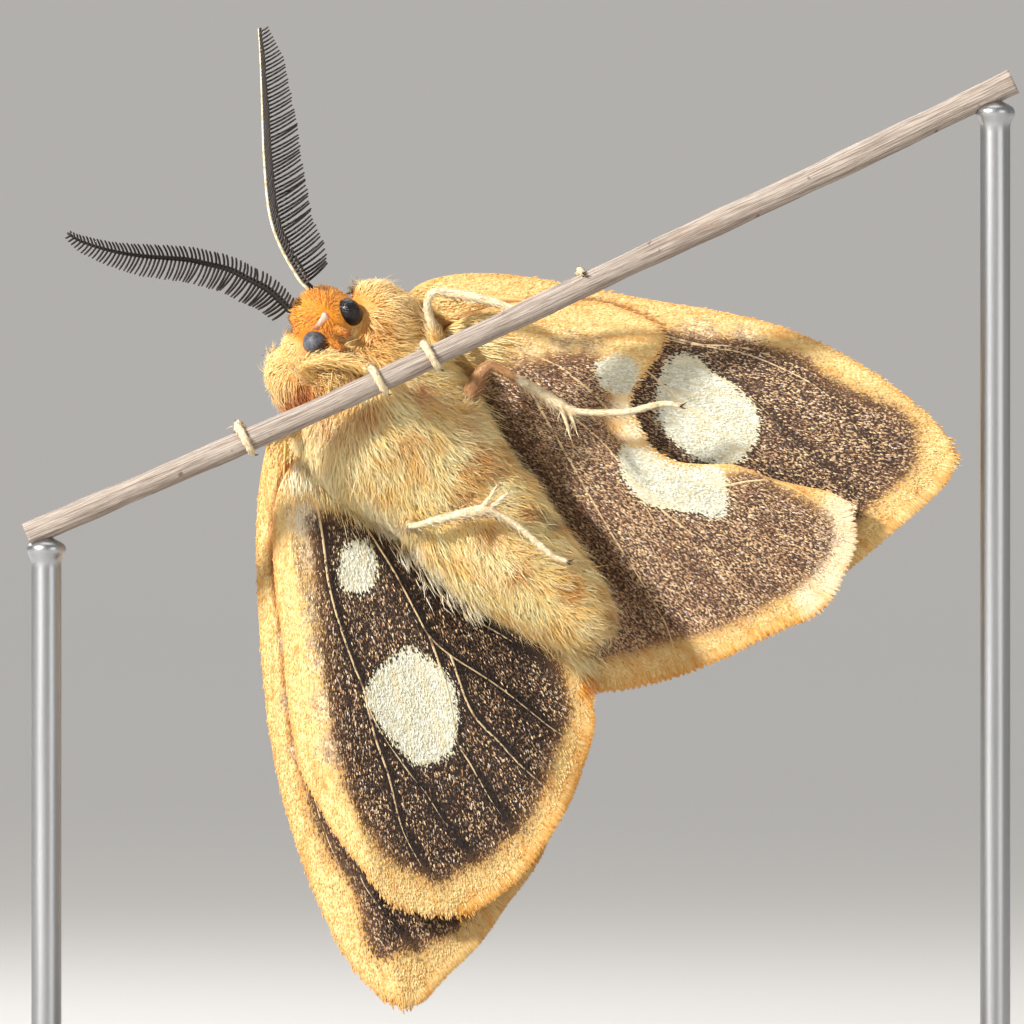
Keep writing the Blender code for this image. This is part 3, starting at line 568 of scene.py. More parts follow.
def wingScales(shape, draw, face):
    low, high = shape.whole.min(0), shape.whole.max(0)
    density = wing["underScales"] if face < 0 else wing["upperScales"]
    at = draw.uniform(low, high, (int(np.prod((high - low) / grid) * density), 2))
    at = at[within(at, shape.rim)]
    marks = shape.marks(at)
    # scales thin out over each vein and over the painted shade line beside it
    clear = easing((np.minimum(marks["vein"], marks["groove"]) - 0.035) / 0.07)
    keep = draw.uniform(size=len(at)) < 0.25 + 0.75 * clear
    at, marks = at[keep], {k: v[keep] for k, v in marks.items()}
    count = len(at)
    way = shape.lie(at)
    bend = draw.normal(0, 0.16, count)
    way = np.stack([way[:, 0] * np.cos(bend) - way[:, 1] * np.sin(bend),
                    way[:, 0] * np.sin(bend) + way[:, 1] * np.cos(bend)], -1)
    lies = shape.wayOnSurface(at, way)
    outs = raised(lies, face)
    bigger = 1.0 if face < 0 else 1.35
    return scalePiece(shape, f"{shape.name}_scales_{'under' if face < 0 else 'upper'}", draw, at, marks, face,
                      shape.surface(at, face, marks) - outs * 0.012, lies, outs,
                      draw.uniform(*wing["length"], count) * bigger,
                      draw.uniform(*wing["width"], count) * bigger, draw.uniform(*wing["rise"], count))


def scalePiece(shape, name, draw, at, marks, face, roots, lies, outs, lengths, widths, rises):
    # a scale is a long flat diamond with a keel below: root, two shoulders and tip
    across = unit(np.cross(lies, outs))
    mid = roots + lies * (lengths * 0.55)[:, None] + outs * (rises + 0.016)[:, None]
    points = np.stack([roots, mid + across * (widths / 2)[:, None], mid - across * (widths / 2)[:, None],
                       roots + lies * lengths[:, None] + outs * rises[:, None]], 1)
    one = np.array([(0, 1, 2), (1, 3, 2), (0, 3, 1), (0, 2, 3)])
    faces = (one[None] + (np.arange(len(at)) * 4)[:, None, None]).reshape(-1, 3)
    floats = {key: np.repeat(v, 4) for key, v in marks.items() if key != "vein"}
    floats["tone"] = np.repeat(draw.uniform(size=len(at)), 4)
    floats["tint"] = np.repeat(draw.uniform(size=len(at)), 4)
    patch = np.array([(0.0, 0.0), (0.0015, 0.0015), (0.0, 0.0015), (0.0015, 0.003)])
    uv = (shape.mapped(at, face)[:, None] + patch).reshape(-1, 2)
    return makePiece(name, points.reshape(-1, 3), faces, floats, uv, smooth=False)


def wingFringe(shape, draw):      # overlapping fine scales past the outer margin, in small teeth
    base, each = evenly(shape.outer, wing["fringeStep"]), wing["fringeEach"]
    run = unit(np.gradient(base, axis=0))
    line = np.repeat(base, each, 0) + draw.normal(0, 0.6, (len(base) * each, 2))
    normal = np.repeat(np.stack([run[:, 1], -run[:, 0]], -1), each, 0)
    normal *= -np.sign(((shape.whole.mean(0) - line) * normal).sum(1))[:, None]
    inset = draw.uniform(0.30, 0.75, len(line))
    at = line - normal * (inset * grid)[:, None]
    gone = np.repeat(np.arange(len(base)) * wing["fringeStep"] / grid, each)
    keep = within(at, shape.rim)
    at, normal, inset, gone = at[keep], normal[keep], inset[keep], gone[keep]
    marks = shape.marks(at)
    count = len(at)
    # clusters reach further than the gaps between them
    wave = gone * math.tau / wing["toothPitch"] + 1.7 * np.sin(gone * 2.1) + 1.1 * np.sin(gone * 5.3)
    tooth = 0.5 + 0.5 * np.sin(wave)
    lean = 0.10 * np.cos(wave)[:, None] * np.stack([-normal[:, 1], normal[:, 0]], -1)
    way = unit(normal + 0.30 * shape.lie(at) + lean + draw.normal(0, 0.06, (count, 2)))
    lies = shape.wayOnSurface(at, way)
    face = np.where(draw.uniform(size=count) < 0.5, -1.0, 1.0)
    outs = raised(lies, face)
    roots = np.where((face < 0)[:, None], shape.surface(at, -1, marks), shape.surface(at, 1, marks))
    teeth = shape.form["teeth"] * (0.75 + 0.5 * np.sin(gone * 1.3 + 1) ** 2)
    lengths = (inset - teeth * (1 - tooth) - 0.08 * draw.uniform(size=count)).clip(0.2, 1.0)
    return scalePiece(shape, shape.name + "_fringe", draw, at, marks, -1, roots, lies, outs, lengths,
                      draw.uniform(0.04, 0.07, count), draw.uniform(0.0, 0.03, count))


def wingHair(shape, draw):        # long soft hair along the inner margin of a hind wing
    inner = evenly(curved(shape.form["inner"], 5), 0.25)
    spots = [np.repeat(inner, 2, 0) + draw.normal(0, 0.28, (len(inner) * 2, 2)) * grid]
    white = [np.zeros(len(spots[0]))]
    for x, y, reach, share in shape.form["hair"]:      # and at the wing's base
        spots.append((x, y) + draw.normal(0, 0.5, (int(reach * reach * 1.3), 2)) * reach)
        white.append(np.full(len(spots[-1]), share))
    at, white = np.vstack(spots), np.concatenate(white)
    base = np.arange(len(at)) >= len(spots[0])
    kept = within(at, shape.whole)
    at, base, white = at[kept], base[kept], white[kept]
    n = len(at)
    marks = shape.marks(at)
    lies = shape.wayOnSurface(at, unit(shape.lie(at) + draw.normal(0, 0.16, (n, 2))))
    outs = raised(lies, -1)
    lengths = (0.40 + 0.6 * draw.uniform(size=n)) * (0.3 + 0.7 * easing(marks["edge"] / 1.2))
    points, faces, tip, shade = tuftMesh(
        shape.surface(at, -1, marks) - outs * 0.03, lies, outs, lengths, draw.uniform(0.028, 0.052, n),
        (0.10 + 0.28 * draw.uniform(size=n)) * lengths)
    flat = np.zeros(len(points))
    nearBase = easing(1.5 - np.hypot(*(at - wing["baseSpot"]).T) / 16)
    floats = {"tip": tip, "tone": perPoint(draw.uniform(size=n)), "clump": flat + 0.6, "rufous": flat,
              "headShare": perPoint(nearBase), "ochre": perPoint(base * 0.35 * draw.uniform(size=n)),
              "tail": flat, "dark": flat, "white": perPoint(white * draw.uniform(0.6, 1.0, n)),
              "pale": perPoint(np.where(base, 0.2, 0.6))}
    return makePiece(shape.name + "_hair", points, faces, floats, tuftMap(shape.mapped(at, -1)), shade=shade)


def wingColour(paint, loose):     # the same markings for the sheet and for its scales
    dark, spot, chalk, edge, shine, hind = paint.read("dark", "spot", "chalk", "edge", "shine", "hind")
    front, above, frost, groove = paint.read("front", "above", "frost", "groove")
    ease, blend, coats = paint.ease, paint.blend, paint.coats
    soft = paint.noise(900.0, detail=3.0)
    lines, strands, streak = (paint.streaks(*size) for size in ((3.6, 0.35), (9.0, 1.6), (26.0, 7.0)))
    if loose:
        tone, tint = paint.read("tone", "tint")
        broken = (soft - 0.5) * 0.7 + (tone - 0.5) * 1.3 + (strands - 0.5) * 0.8
    else:
        tone, tint = ease(streak, 0.25, 0.75), soft
        broken = (soft - 0.5) * 0.9 + (streak - 0.5) * 2.0
    darkShare = ease(dark + broken * 0.50, -0.10, 0.16)
    spotShare = ease(spot + broken * 0.34, -0.03, 0.06)
    # pale parts: cream-gold, deeper in long streaks, deepest at the front edge
    # under the hind wing's front edge the fore wing is painted rufous-brown, a painted shadow of that edge
    # the outer border is orange towards the fringe, with paler tips
    # beside the dark field it is cream with brown specks, or a brownish yellow
    below = ease(above, 0.30, 0.05) * (1 - hind)
    border = ease(edge + (soft - 0.5) * 0.4, 0.85, 0.40) * (0.34 + hind * 0.46)
    near = ease(dark + broken * 0.5, -0.70, -0.10)
    inner = ease(near + ease(tone, 0.0, 1.0) * 0.8, 0.45, 1.2) * frost
    pale = coats(blend(ease(tone, 0.05, 0.95), (216, 172, 100), (240, 216, 154)),
                 (ease(lines, 0.50, 0.68) * 0.60, (214, 150, 70)),
                 (ease(strands, 0.52, 0.70) * 0.35, (244, 222, 166)),
                 (ease(front, 0.22, 0.03) * 0.45, (226, 156, 76)),
                 # painted shadow of the hind wing's front edge
                 (below * 0.80, (150, 86, 34)),
                 (border, blend(tone, (212, 134, 40), (236, 178, 82))),
                 (ease(edge, 0.16, 0.02) * 0.5, (240, 206, 140)),
                 (inner * 0.60, (240, 226, 194)),
                 (inner * ease(tint + (strands - 0.5) * 0.8, 0.36, 0.62) * 0.85, (138, 110, 92)),
                 (ease(dark + broken * 0.6, -0.35, -0.02) * (1 - inner) * 0.45, (168, 120, 58)),
                 (chalk * 0.55, (250, 240, 214)))
    # the dark field: near black with fine pale specks, paler and greyer by each wing's painted sheen, brown
    # next to its own edge, and darker still along the painted shade line beside each vein
    veinShade = (1 - ease(groove, 0.05, 0.36)) * (0.95 - shine * 0.80)
    bare = veinShade * 0.30 + (0.5 - lines) * 0.55
    speck = blend(ease(tint, 0.2, 0.8), (166, 122, 90), (240, 208, 160))
    brown = coats(blend(shine, (24, 15, 12), (74, 52, 41)),
                  (ease(tone, 0.2, 0.8) * 0.6, blend(shine, (50, 34, 27), (136, 106, 84))),
                  (veinShade * 0.8, (14, 8, 8)),
                  (ease(tone + shine * 0.22 - bare, 0.73, 0.85) * 0.85, speck),
                  (ease(tint + shine * 0.02 - bare * 0.4, 0.950, 0.975) * 0.7, (228, 214, 208)),
                  (chalk * ease(tone, 0.3, 0.8) * 0.5, (206, 194, 176)),
                  (ease(dark, 0.9, 0.05) * 0.30, (138, 98, 60)))
    white = coats(blend(ease(tone, 0.0, 0.8), (194, 193, 174), (232, 232, 216)),
                  (ease(strands, 0.46, 0.62) * 0.60, (200, 192, 158)),
                  (ease(lines, 0.52, 0.62) * 0.45, (222, 208, 170)),
                  (ease(spot, 0.16, 0.0) * 0.40, (226, 206, 150)))
    colour = coats(pale, (darkShare, brown), (spotShare, white))
    if not loose:
        # on the sheet, a brown painted shade line runs beside each vein
        beside = (1 - ease(groove, 0.02, 0.09)) * 0.6
        colour = blend(beside * (1 - darkShare) * 0.4, colour, (186, 122, 60))
    return colour, streak


def wingMaterials():
    sheet = Paint("wingSheet", 0.62, sheen=0.1, specular=0.3)
    colour, streak = wingColour(sheet, False)
    fine = sheet.noise(7000.0, rough=0.6)
    sheet.set(Base_Color=colour).bump(streak + fine * 0.4, 0.00004, 0.8)
    scale = Paint("wingScales", 0.5, specular=0.3)
    scale.set(Base_Color=wingColour(scale, True)[0])
    vein = Paint("wingVeins", 0.5, specular=0.4)
    tint = vein.noise(2200.0, detail=3.0)
    dark, spot = vein.read("dark", "spot")
    field = vein.blend(vein.ease(tint, 0.32, 0.50), (120, 90, 68), (222, 194, 150))
    colour = vein.coats(vein.blend(tint, (226, 170, 92), (246, 214, 150)),
                        (vein.ease(dark, -0.1, 0.15), field),
                        (vein.ease(spot, -0.02, 0.05) * 0.8, (226, 214, 178)))
    vein.set(Base_Color=colour).bump(tint, 0.00002, 0.5)
    return sheet.material, scale.material, vein.material


print("wings")
draw = np.random.default_rng(11)
sheetPaint, scalePaint, veinPaint = wingMaterials()
shapes = {name: WingShape(name, form) for name, form in wings.items()}
for shape in shapes.values():
    finishPiece(wingSheet(shape), sheetPaint, [shape.name])
    finishPiece(wingVeins(shape), veinPaint)
    for piece in (wingScales(shape, draw, -1), wingScales(shape, draw, 1), wingFringe(shape, draw)):
        finishPiece(piece, scalePaint)


def ripple(points, size, seed):   # a soft uneven number for each place, about -1 to 1
    waves = np.random.default_rng(seed)
    total = np.zeros(len(points))
    for _ in range(7):
        way = unit(waves.normal(size=3)) * waves.uniform(0.6, 1.5) * math.tau / size
        total += np.sin(points @ way + waves.uniform(0, math.tau))
    return total / 3.2


# the body
body = {
    "thorax": [(0.2, 0, 4.9, 1.5, 1.3), (0.9, -0.1, 4.7, 2.4, 2.1), (2.2, -0.3, 4.45, 3.0, 2.75),
               (3.6, -0.45, 4.4, 3.35, 3.05), (5.0, -0.5, 4.4, 3.4, 3.05), (6.4, -0.35, 4.45, 3.1, 2.8),
               (7.6, -0.15, 4.45, 2.75, 2.5), (8.8, 0.0, 4.45, 2.5, 2.3)],
    "abdomen": [(7.6, -0.05, 4.45, 2.0, 1.9), (8.85, 0, 4.45, 2.4, 2.2), (10.2, 0.05, 4.45, 2.4, 2.2),
                (11.8, 0.15, 4.4, 2.2, 2.1), (13.4, 0.4, 4.35, 1.88, 1.85), (15.0, 0.68, 4.3, 1.45, 1.5),
                (16.0, 0.8, 4.3, 1.1, 1.2), (16.6, 0.8, 4.3, 0.7, 0.8)],
    "head": [(-1.25, 0.1, 2.8, 0.5, 0.45), (-0.92, 0.1, 2.75, 0.95, 0.9), (-0.3, 0.15, 2.75, 1.22, 1.2),
             (0.4, 0.2, 2.8, 1.32, 1.2), (1.0, 0.2, 2.95, 1.1, 1.05), (1.45, 0.15, 3.0, 0.6, 0.55)],
    "neck": [(0.3, 0.15, 3.0, 0.9, 0.9), (1.2, 0.1, 3.6, 1.4, 1.4), (2.2, -0.1, 4.3, 1.9, 1.9)],
    # shoulder lobes beside the head: along, side, depth, then half sizes
    "lobes": [(1.3, 2.05, 3.4, 1.5, 1.2, 1.3), (1.3, -2.2, 3.3, 1.5, 1.1, 1.3),
              (2.1, -0.8, 3.1, 1.2, 1.7, 1.8), (0.55, -1.35, 3.25, 0.95, 0.8, 1.0)],
    "voxel": 0.11,
    # eyes: place, then half sizes along, across and in depth
    "eyes": {"left": ((0.40, 1.12, 2.10), (0.60, 0.48, 0.52)),
             "right": ((0.49, -0.69, 2.02), (0.48, 0.52, 0.54))}}
axis = np.array([s[:3] for s in body["head"][1:4]] + [(1.6, 0, 3.9)] + [s[:3] for s in body["thorax"][2:7]]
                + [s[:3] for s in body["abdomen"][1:]])


def onLoft(stations, fine=5, around=28):
    rows = curved(stations, fine)
    turn = np.arange(around) / around * math.tau
    rings = [bodyPlace(a, s + w * np.cos(turn), d + h * np.sin(turn)) for a, s, d, w, h in rows]
    ends = [bodyPlace(*rows[0, :3])[None], bodyPlace(*rows[-1, :3])[None]]
    return np.vstack(rings + ends), ringFaces(len(rows), around), {}


def lobeLoft(along, side, depth, a, b, c):
    rows = []
    for t in np.linspace(-0.98, 0.98, 9):
        girth = math.sqrt(1 - t * t)
        rows.append((along + a * t, side, depth, b * girth, c * girth))
    return onLoft(rows, 2)


def bodyWhere(points):            # along, side, depth, and the turn about the body's own middle line
    rel = points - placed(*headCentre, 0.0)
    along, side, depth = rel @ alongWay, rel @ sideWay, rel @ backWay
    midSide, midDepth = (np.interp(along, axis[:, 0], axis[:, k]) for k in (1, 2))
    return along, side - midSide, depth - midDepth, np.arctan2(depth - midDepth, side - midSide)


def eyeDistance(points):          # about how far, in millimetres, from the nearer eye
    rel = [(points - bodyPlace(*place)) @ np.array([alongWay, sideWay, backWay]).T / size
           for place, size in body["eyes"].values()]
    return (np.min([np.linalg.norm(r, axis=1) for r in rel], 0) - 1) * 0.55


def bodySkin():
    parts = [onLoft(body[key]) for key in ("thorax", "abdomen", "head", "neck")]
    parts += [lobeLoft(*lobe) for lobe in body["lobes"]]
    points, faces, _ = joinMeshes(parts)
    rough = makePiece("roughBody", points, faces)
    remesh = rough.modifiers.new("remesh", "REMESH")
    remesh.mode, remesh.voxel_size, remesh.use_smooth_shade = "VOXEL", body["voxel"] * mm, True
    smooth = rough.modifiers.new("smooth", "SMOOTH")
    smooth.factor, smooth.iterations = 0.5, 8
    rough.modifiers.new("split", "TRIANGULATE")
    ready = rough.evaluated_get(bpy.context.evaluated_depsgraph_get()).to_mesh()
    points, faces = np.empty(len(ready.vertices) * 3), np.empty(len(ready.polygons) * 3, np.int32)
    ready.vertices.foreach_get("co", points)
    ready.polygons.foreach_get("vertices", faces)
    bpy.data.objects.remove(rough)
    return points.reshape(-1, 3) / mm, faces.reshape(-1, 3)


# places on the body painted another colour, some the fur's own colour and some painted shade: px, py, how far
# they reach, how strongly
bodyTints = {
    # ochre at (350, 420) and (430, 400) lays the stem's shadow band across the thorax in orange, a painted
    # shadow; the other ochre places are the fur's own colour
    "ochre": [(474, 462, 26, 0.9), (458, 492, 16, 0.9), (483, 532, 13, 0.7), (518, 511, 12, 1.0),
              (536, 482, 14, 0.8), (514, 569, 12, 1.0), (562, 586, 15, 1.0), (590, 640, 12, 0.7),
              (560, 548, 10, 0.7), (455, 415, 20, 0.5), (405, 440, 22, 0.5), (505, 430, 16, 0.6),
              (522, 468, 13, 0.8), (552, 520, 13, 0.8), (570, 553, 11, 0.8), (592, 585, 11, 0.9),
              (602, 606, 9, 0.8), (500, 445, 16, 0.7), (350, 420, 26, 0.5), (430, 400, 20, 0.6),
              (380, 330, 14, 0.5), (334, 400, 24, 0.5)],
    # rufous at (330, 423) and (366, 408) lays more of that painted stem shadow; the other rufous places are
    # the fur's own colour
    "rufous": [(302, 395, 18, 1.0), (287, 402, 12, 1.0), (346, 334, 7, 0.6), (608, 604, 11, 0.9),
               (412, 388, 12, 0.7), (330, 423, 18, 0.4), (366, 408, 18, 0.4)],
    # dark is painted shade: the gaps beside the left shoulder lobe, beside the right eye, and between the
    # tufts of the abdomen and tail
    "dark": [(333, 345, 5, 0.7), (418, 298, 8, 1.0), (421, 316, 8, 1.0), (425, 336, 8, 1.0),
             (528, 511, 8, 0.9), (541, 518, 7, 0.8), (486, 531, 6, 0.5), (604, 614, 8, 0.7)],
    "pale": [(400, 395, 30, 0.4), (460, 430, 24, 0.6), (282, 384, 24, 0.3), (400, 300, 22, 0.5),
             (340, 455, 40, 0.4), (310, 440, 30, 0.5), (490, 560, 26, 0.5), (583, 623, 14, 0.8)],
    "white": [(296, 492, 13, 0.8), (368, 504, 16, 0.4), (388, 520, 14, 0.6), (410, 542, 12, 0.9),
              (430, 564, 12, 0.9), (450, 584, 11, 0.8), (472, 600, 10, 0.6), (312, 470, 18, 0.4)]}


def bodyMarks(points):
    along, side, depth, _ = bodyWhere(points)
    px, py = points[:, 0] * grid + gridMiddle, gridMiddle - (points[:, 2] - viewHeight) * grid
    under = easing(0.6 - depth / 2.5)
    marks = {"headShare": easing((1.35 - along - 0.25 * np.abs(side) + 0.12 * ripple(points, 0.9, 5)) / 0.7)
             * easing((1.2 - depth) / 0.8) * easing((1.75 - np.abs(side - 0.1)) / 0.4)}
    ruff = 0.42 * easing((3.4 - along) / 1.6) * easing((1.6 - depth) / 1.2)
    marks["headShare"] = np.maximum(marks["headShare"], ruff)
    for key, places in bodyTints.items():
        total = np.zeros(len(points))
        for x, y, reach, strength in places:
            total = np.maximum(total, strength * easing(1.25 - np.hypot(px - x, py - y) / reach / 1.1))
        marks[key] = total * under
    marks["tail"] = easing((along - 14.5) / 3.2)
    marks["clump"] = 0.5 + 0.5 * ripple(points, 1.5, 8)
    return marks


def scatter(points, faces, density, draw, extra=None):
    a, b, c = (points[faces[:, k]] for k in range(3))
    area = np.linalg.norm(np.cross(b - a, c - a), axis=1) / 2
    facing = np.cross(b - a, c - a)
    normals = np.zeros_like(points)
    for k in range(3):
        np.add.at(normals, faces[:, k], facing)
    normals = unit(normals)
    weight = area * (density if np.ndim(density) == 0 else density[faces].mean(1))
    count = int(weight.sum())
    pick = draw.choice(len(faces), count, p=weight / weight.sum())
    u, v = draw.uniform(size=(2, count))
    flip = u + v > 1
    u[flip], v[flip] = 1 - u[flip], 1 - v[flip]
    share = np.stack([1 - u - v, u, v], -1)[:, :, None]
    corner = faces[pick]
    out = [(points[corner] * share).sum(1), unit((normals[corner] * share).sum(1))]
    return out + [(e[corner] * share).sum(1) for e in (extra or [])]


locks = {"every": 12, "pull": 0.34, "sway": 0.12, "most": 19500, "depth": 0.06}   # of the tufts


def clumped(roots, tips, draw):   # the tips lean together in small locks
    pull = draw.uniform(0.2, 1.0, len(roots)) * locks["pull"]
    chosen = draw.choice(len(roots), max(1, len(roots) // locks["every"]), replace=False)
    tree = KDTree(len(chosen))
    for i, k in enumerate(chosen):
        tree.insert(roots[k], i)
    tree.balance()
    near = np.array([chosen[tree.find(r)[1]] for r in roots])
    own = tips - roots
    return pull[:, None] * (roots[near] + own[near] - tips), near


def furPiece(name, roots, outs, ways, lengths, widths, rises, draw, mapping, marks):
    lies = unit(ways - outs * (ways * outs).sum(1)[:, None])
    tips = roots + lies * lengths[:, None] + outs * rises[:, None]
    swing, near = clumped(roots, tips, draw)
    swing += draw.normal(0, locks["sway"], roots.shape) * lengths[:, None]
    points, faces, tip, shade = tuftMesh(roots, lies, outs, lengths, widths, rises, swing)
    own, shared = draw.uniform(size=len(roots)), draw.uniform(size=len(roots))[near]
    floats = {key: perPoint(v) for key, v in {**marks, "tone": 0.55 * own + 0.45 * shared}.items()}
    return makePiece(name, points, faces, {**floats, "tip": tip}, tuftMap(mapping), shade=shade)


def bodyMap(points):
    along, _, _, turn = bodyWhere(points)
    return np.stack([turn / math.tau + 0.5, (along + 2.2) / 21.5], -1)


fronsLine = np.array([placed(*p) for p in ((316.5, 329.5, 1.66), (322, 322.5, 1.56), (328.5, 315, 1.64))])

coats = {                         # tufts to the square millimetre, length, width, how far they stand off
    "headFur": {"density": 340, "length": (0.18, 0.40), "width": (0.026, 0.050), "rise": (0.08, 0.22)},
    "ruffFur": {"density": 290, "length": (0.36, 0.70), "width": (0.026, 0.050), "rise": (0.18, 0.46)},
    "thoraxFur": {"density": 260, "length": (0.45, 0.95), "width": (0.026, 0.050), "rise": (0.20, 0.55)},
    "abdomenFur": {"density": 262, "length": (0.42, 0.85), "width": (0.026, 0.050), "rise": (0.14, 0.42)}}


def bodyCoats(points, faces, draw):
    pieces = []
    along, _, depth, _ = bodyWhere(points)
    headShare = easing((1.15 - along) / 0.5) * easing((1.1 - depth) / 0.6)
    ruffShare = (1 - headShare) * easing((2.4 - along) / 0.9)
    tailShare = easing((along - 8.2) / 0.5)
    shares = {"headFur": headShare, "ruffFur": ruffShare, "abdomenFur": tailShare,
              "thoraxFur": np.clip(1 - headShare - ruffShare - tailShare, 0, 1)}
    for key, coat in coats.items():
        weight = shares[key] * coat["density"]
        roots, outs = scatter(points, faces, weight, draw)
        a, s, d, t = bodyWhere(roots)
        clear = eyeDistance(roots) > 0.01
        if key == "headFur":      # the bare bar on the face
            clear &= lineDistance(roots[:, [0, 2]], fronsLine[:, [0, 2]]) > 0.05
        roots, outs, a, s, d, t = (v[clear] for v in (roots, outs, a, s, d, t))
        n = len(roots)
        bend = 0.55 * ripple(roots, 2.6, 3)[:, None]
        if key == "headFur":      # spreads from the middle of the face
            ways = (a + 0.1)[:, None] * alongWay + (s - 0.05)[:, None] * sideWay + 0.35 * backWay
            ways += bend * 0.4 * sideWay
        elif key == "ruffFur":    # forward and out over the shoulders
            middles = np.array([bodyPlace(*lobe[:3]) for lobe in body["lobes"][:2]])
            ways = unit(roots - middles[(s < 0).astype(int)]) + 0.25 * alongWay + bend * 0.5 * sideWay
        else:
            ways = alongWay + (0.26 * s)[:, None] * sideWay + bend * sideWay + draw.normal(0, 0.30, (n, 3))
        size = draw.uniform(size=n)
        lengths = coat["length"][0] + (coat["length"][1] - coat["length"][0]) * size
        rises = draw.uniform(*coat["rise"], n) * (0.6 + 0.4 * size)
        stray = 1 + (draw.uniform(size=n) < 0.05) * draw.uniform(0.3, 0.7, n) * (key != "headFur")
        lengths, rises = lengths * stray, rises * stray
        if key == "abdomenFur":   # longer along both sides and at the tail
            fringe = np.maximum(easing((np.abs(np.cos(t)) - 0.55) / 0.4), easing((a - 16.0) / 1.4))
            lengths, rises = lengths * (1 + 0.45 * fringe), rises * (1 + 0.5 * fringe)
        if key == "headFur":
            near = easing(eyeDistance(roots) / 0.5)
            lengths, rises = lengths * (0.35 + 0.65 * near), rises * (0.25 + 0.75 * near)
        marks = bodyMarks(roots)
        roots = roots - outs * locks["depth"]
        widths = draw.uniform(*coat["width"], n)
        share = math.ceil(n / locks["most"])
        cut = np.array_split(np.argsort(t + 0.15 * draw.normal(size=n)), share)
        for i, part in enumerate(cut):
            name = key if share == 1 else f"{key}_{i + 1}"
            each = (v[part] for v in (roots, outs, ways, lengths, widths, rises))
            pieces.append(furPiece(name, *each, draw, bodyMap(roots[part]),
                                   {k: v[part] for k, v in marks.items()}))
            print(name, len(part), "tufts")
    return pieces


def furMaterial(name, loose):     # skin and coat carry the same colours
    paint = Paint(name, 0.62, sheen=0.05, specular=0.25)
    ease, blend, coats = paint.ease, paint.blend, paint.coats
    wide = paint.noise(650.0)
    fine = paint.noise(4200.0, detail=3.0, rough=0.6)
    tone = paint.read("tone") if loose else fine
    pale, ochre, tail, white = paint.read("pale", "ochre", "tail", "white")
    clump = paint.read("clump") + (wide - 0.5) * 0.8
    straw = coats(blend(ease(tone, 0.1, 0.9), (253, 210, 118), (255, 247, 194)),
                  (ease(clump, 0.70, 0.10) * 0.40, (244, 172, 70)), (pale * 0.75, (255, 240, 190)),
                  # ochre here also carries the stem's painted shadow band
                  (ochre * ease(tone, 1.0, 0.45) * 0.85, (196, 120, 34)), (tail * 0.30, (236, 166, 66)),
                  (white * ease(tone, -0.3, 0.5), (250, 246, 230)))
    orange = blend(ease(tone, 0.1, 0.85), (196, 104, 8), (228, 154, 28))
    headShare, rufous, dark = paint.read("headShare", "rufous", "dark")
    # rufous also carries part of the stem's painted shadow, and dark is painted shade in the gaps of the coat
    colour = coats(straw, (headShare, orange), (rufous, (176, 84, 16)), (dark, (84, 50, 22)))
    if loose:
        tip = paint.read("tip")
        # towards each tuft's root the colour deepens to orange-brown, partly the hair's own colour and partly
        # painted shade deep in the coat
        colour = coats(colour, (ease(tip, 0.45, 0.0) * 0.35, (206, 124, 36)),
                       (ease(tip, 0.4, 1.0) * 0.25, (255, 238, 196)))
    else:
        paint.bump(fine + wide, 0.00008, 0.9)
        colour = blend(0.5, colour, (196, 122, 44))
    return paint.set(Base_Color=colour).material


print("body")
draw = np.random.default_rng(23)
skinPoints, skinFaces = bodySkin()
skin = makePiece("bodySkin", skinPoints, skinFaces, bodyMarks(skinPoints))
furDown = furMaterial("bodyDown", False)
finishPiece(skin, furDown, ["head", "thorax", "abdomen"])
furPaint = furMaterial("bodyFur", True)
for side in ("left", "right"):
    finishPiece(wingHair(shapes["hindwing_" + side], draw), furPaint)
for piece in bodyCoats(skinPoints, skinFaces, draw):
    finishPiece(piece, furPaint)


# eyes: a fine ball with facets
def eyePiece(side, place, size):
    work = bmesh.new()
    bmesh.ops.create_icosphere(work, subdivisions=5, radius=1.0)
    points = np.array([tuple(v.co) for v in work.verts])
    faces = np.array([[v.index for v in f.verts] for f in work.faces])
    work.free()
    points = bodyPlace(*place) + points * size @ np.array([alongWay, sideWay, backWay])
    return makePiece("eyeBall_" + side, points, faces)


def eyeMaterial(name, dark, pale, gloss):
    paint = Paint(name, gloss, specular=0.4)
    where = paint.node("ShaderNodeTexCoord", out="Object")
    facets = paint.node("ShaderNodeTexVoronoi", {"feature": "DISTANCE_TO_EDGE"},
                        {"Vector": where, "Scale": 17000.0}, "Distance")
    cloud = paint.noise(1500.0, detail=3.0)
    colour = paint.blend(paint.ease(cloud, 0.35, 0.7), dark, pale)
    colour = paint.blend(1 - paint.ease(facets, 0.0, 0.12), colour, (12.9, 12.9, 15.6))
    return paint.set(Base_Color=colour).bump(paint.ease(facets, 0.0, 0.25), 0.000006, 0.7).material


print("eyes")
# both eyes are one kind of eye; the right one is painted grey and paler, a painted sheen where it catches the
# light
eyePaints = {"left": eyeMaterial("eyeDark", (12.9, 6.59, 6.59), (25.5, 20.0, 22.0), 0.22),
             "right": eyeMaterial("eyeGrey", (63.2, 66.3, 74.8), (114.5, 117.6, 129.1), 0.35)}
for side, (place, size) in body["eyes"].items():
    finishPiece(eyePiece(side, place, np.array(size)), eyePaints[side], ["eye_" + side])

# the bare bar between the eyes, and two short mouth feelers
face = {"palps": [[(335, 329, 1.75), (341, 332, 1.35), (349, 335, 1.25)],
                  [(332, 341, 1.75), (337, 346, 1.35), (343, 350, 1.25)]],
        "palpRadius": 0.15, "palpSides": 12, "palpTufts": 420,
        "barShape": ([0, 0.1, 0.35, 0.55, 0.85, 1], [0.08, 0.15, 0.15, 0.14, 0.26, 0.12]),
        "palpShape": ([0, 0.5, 0.85, 1], [1, 0.95, 0.8, 0.35])}


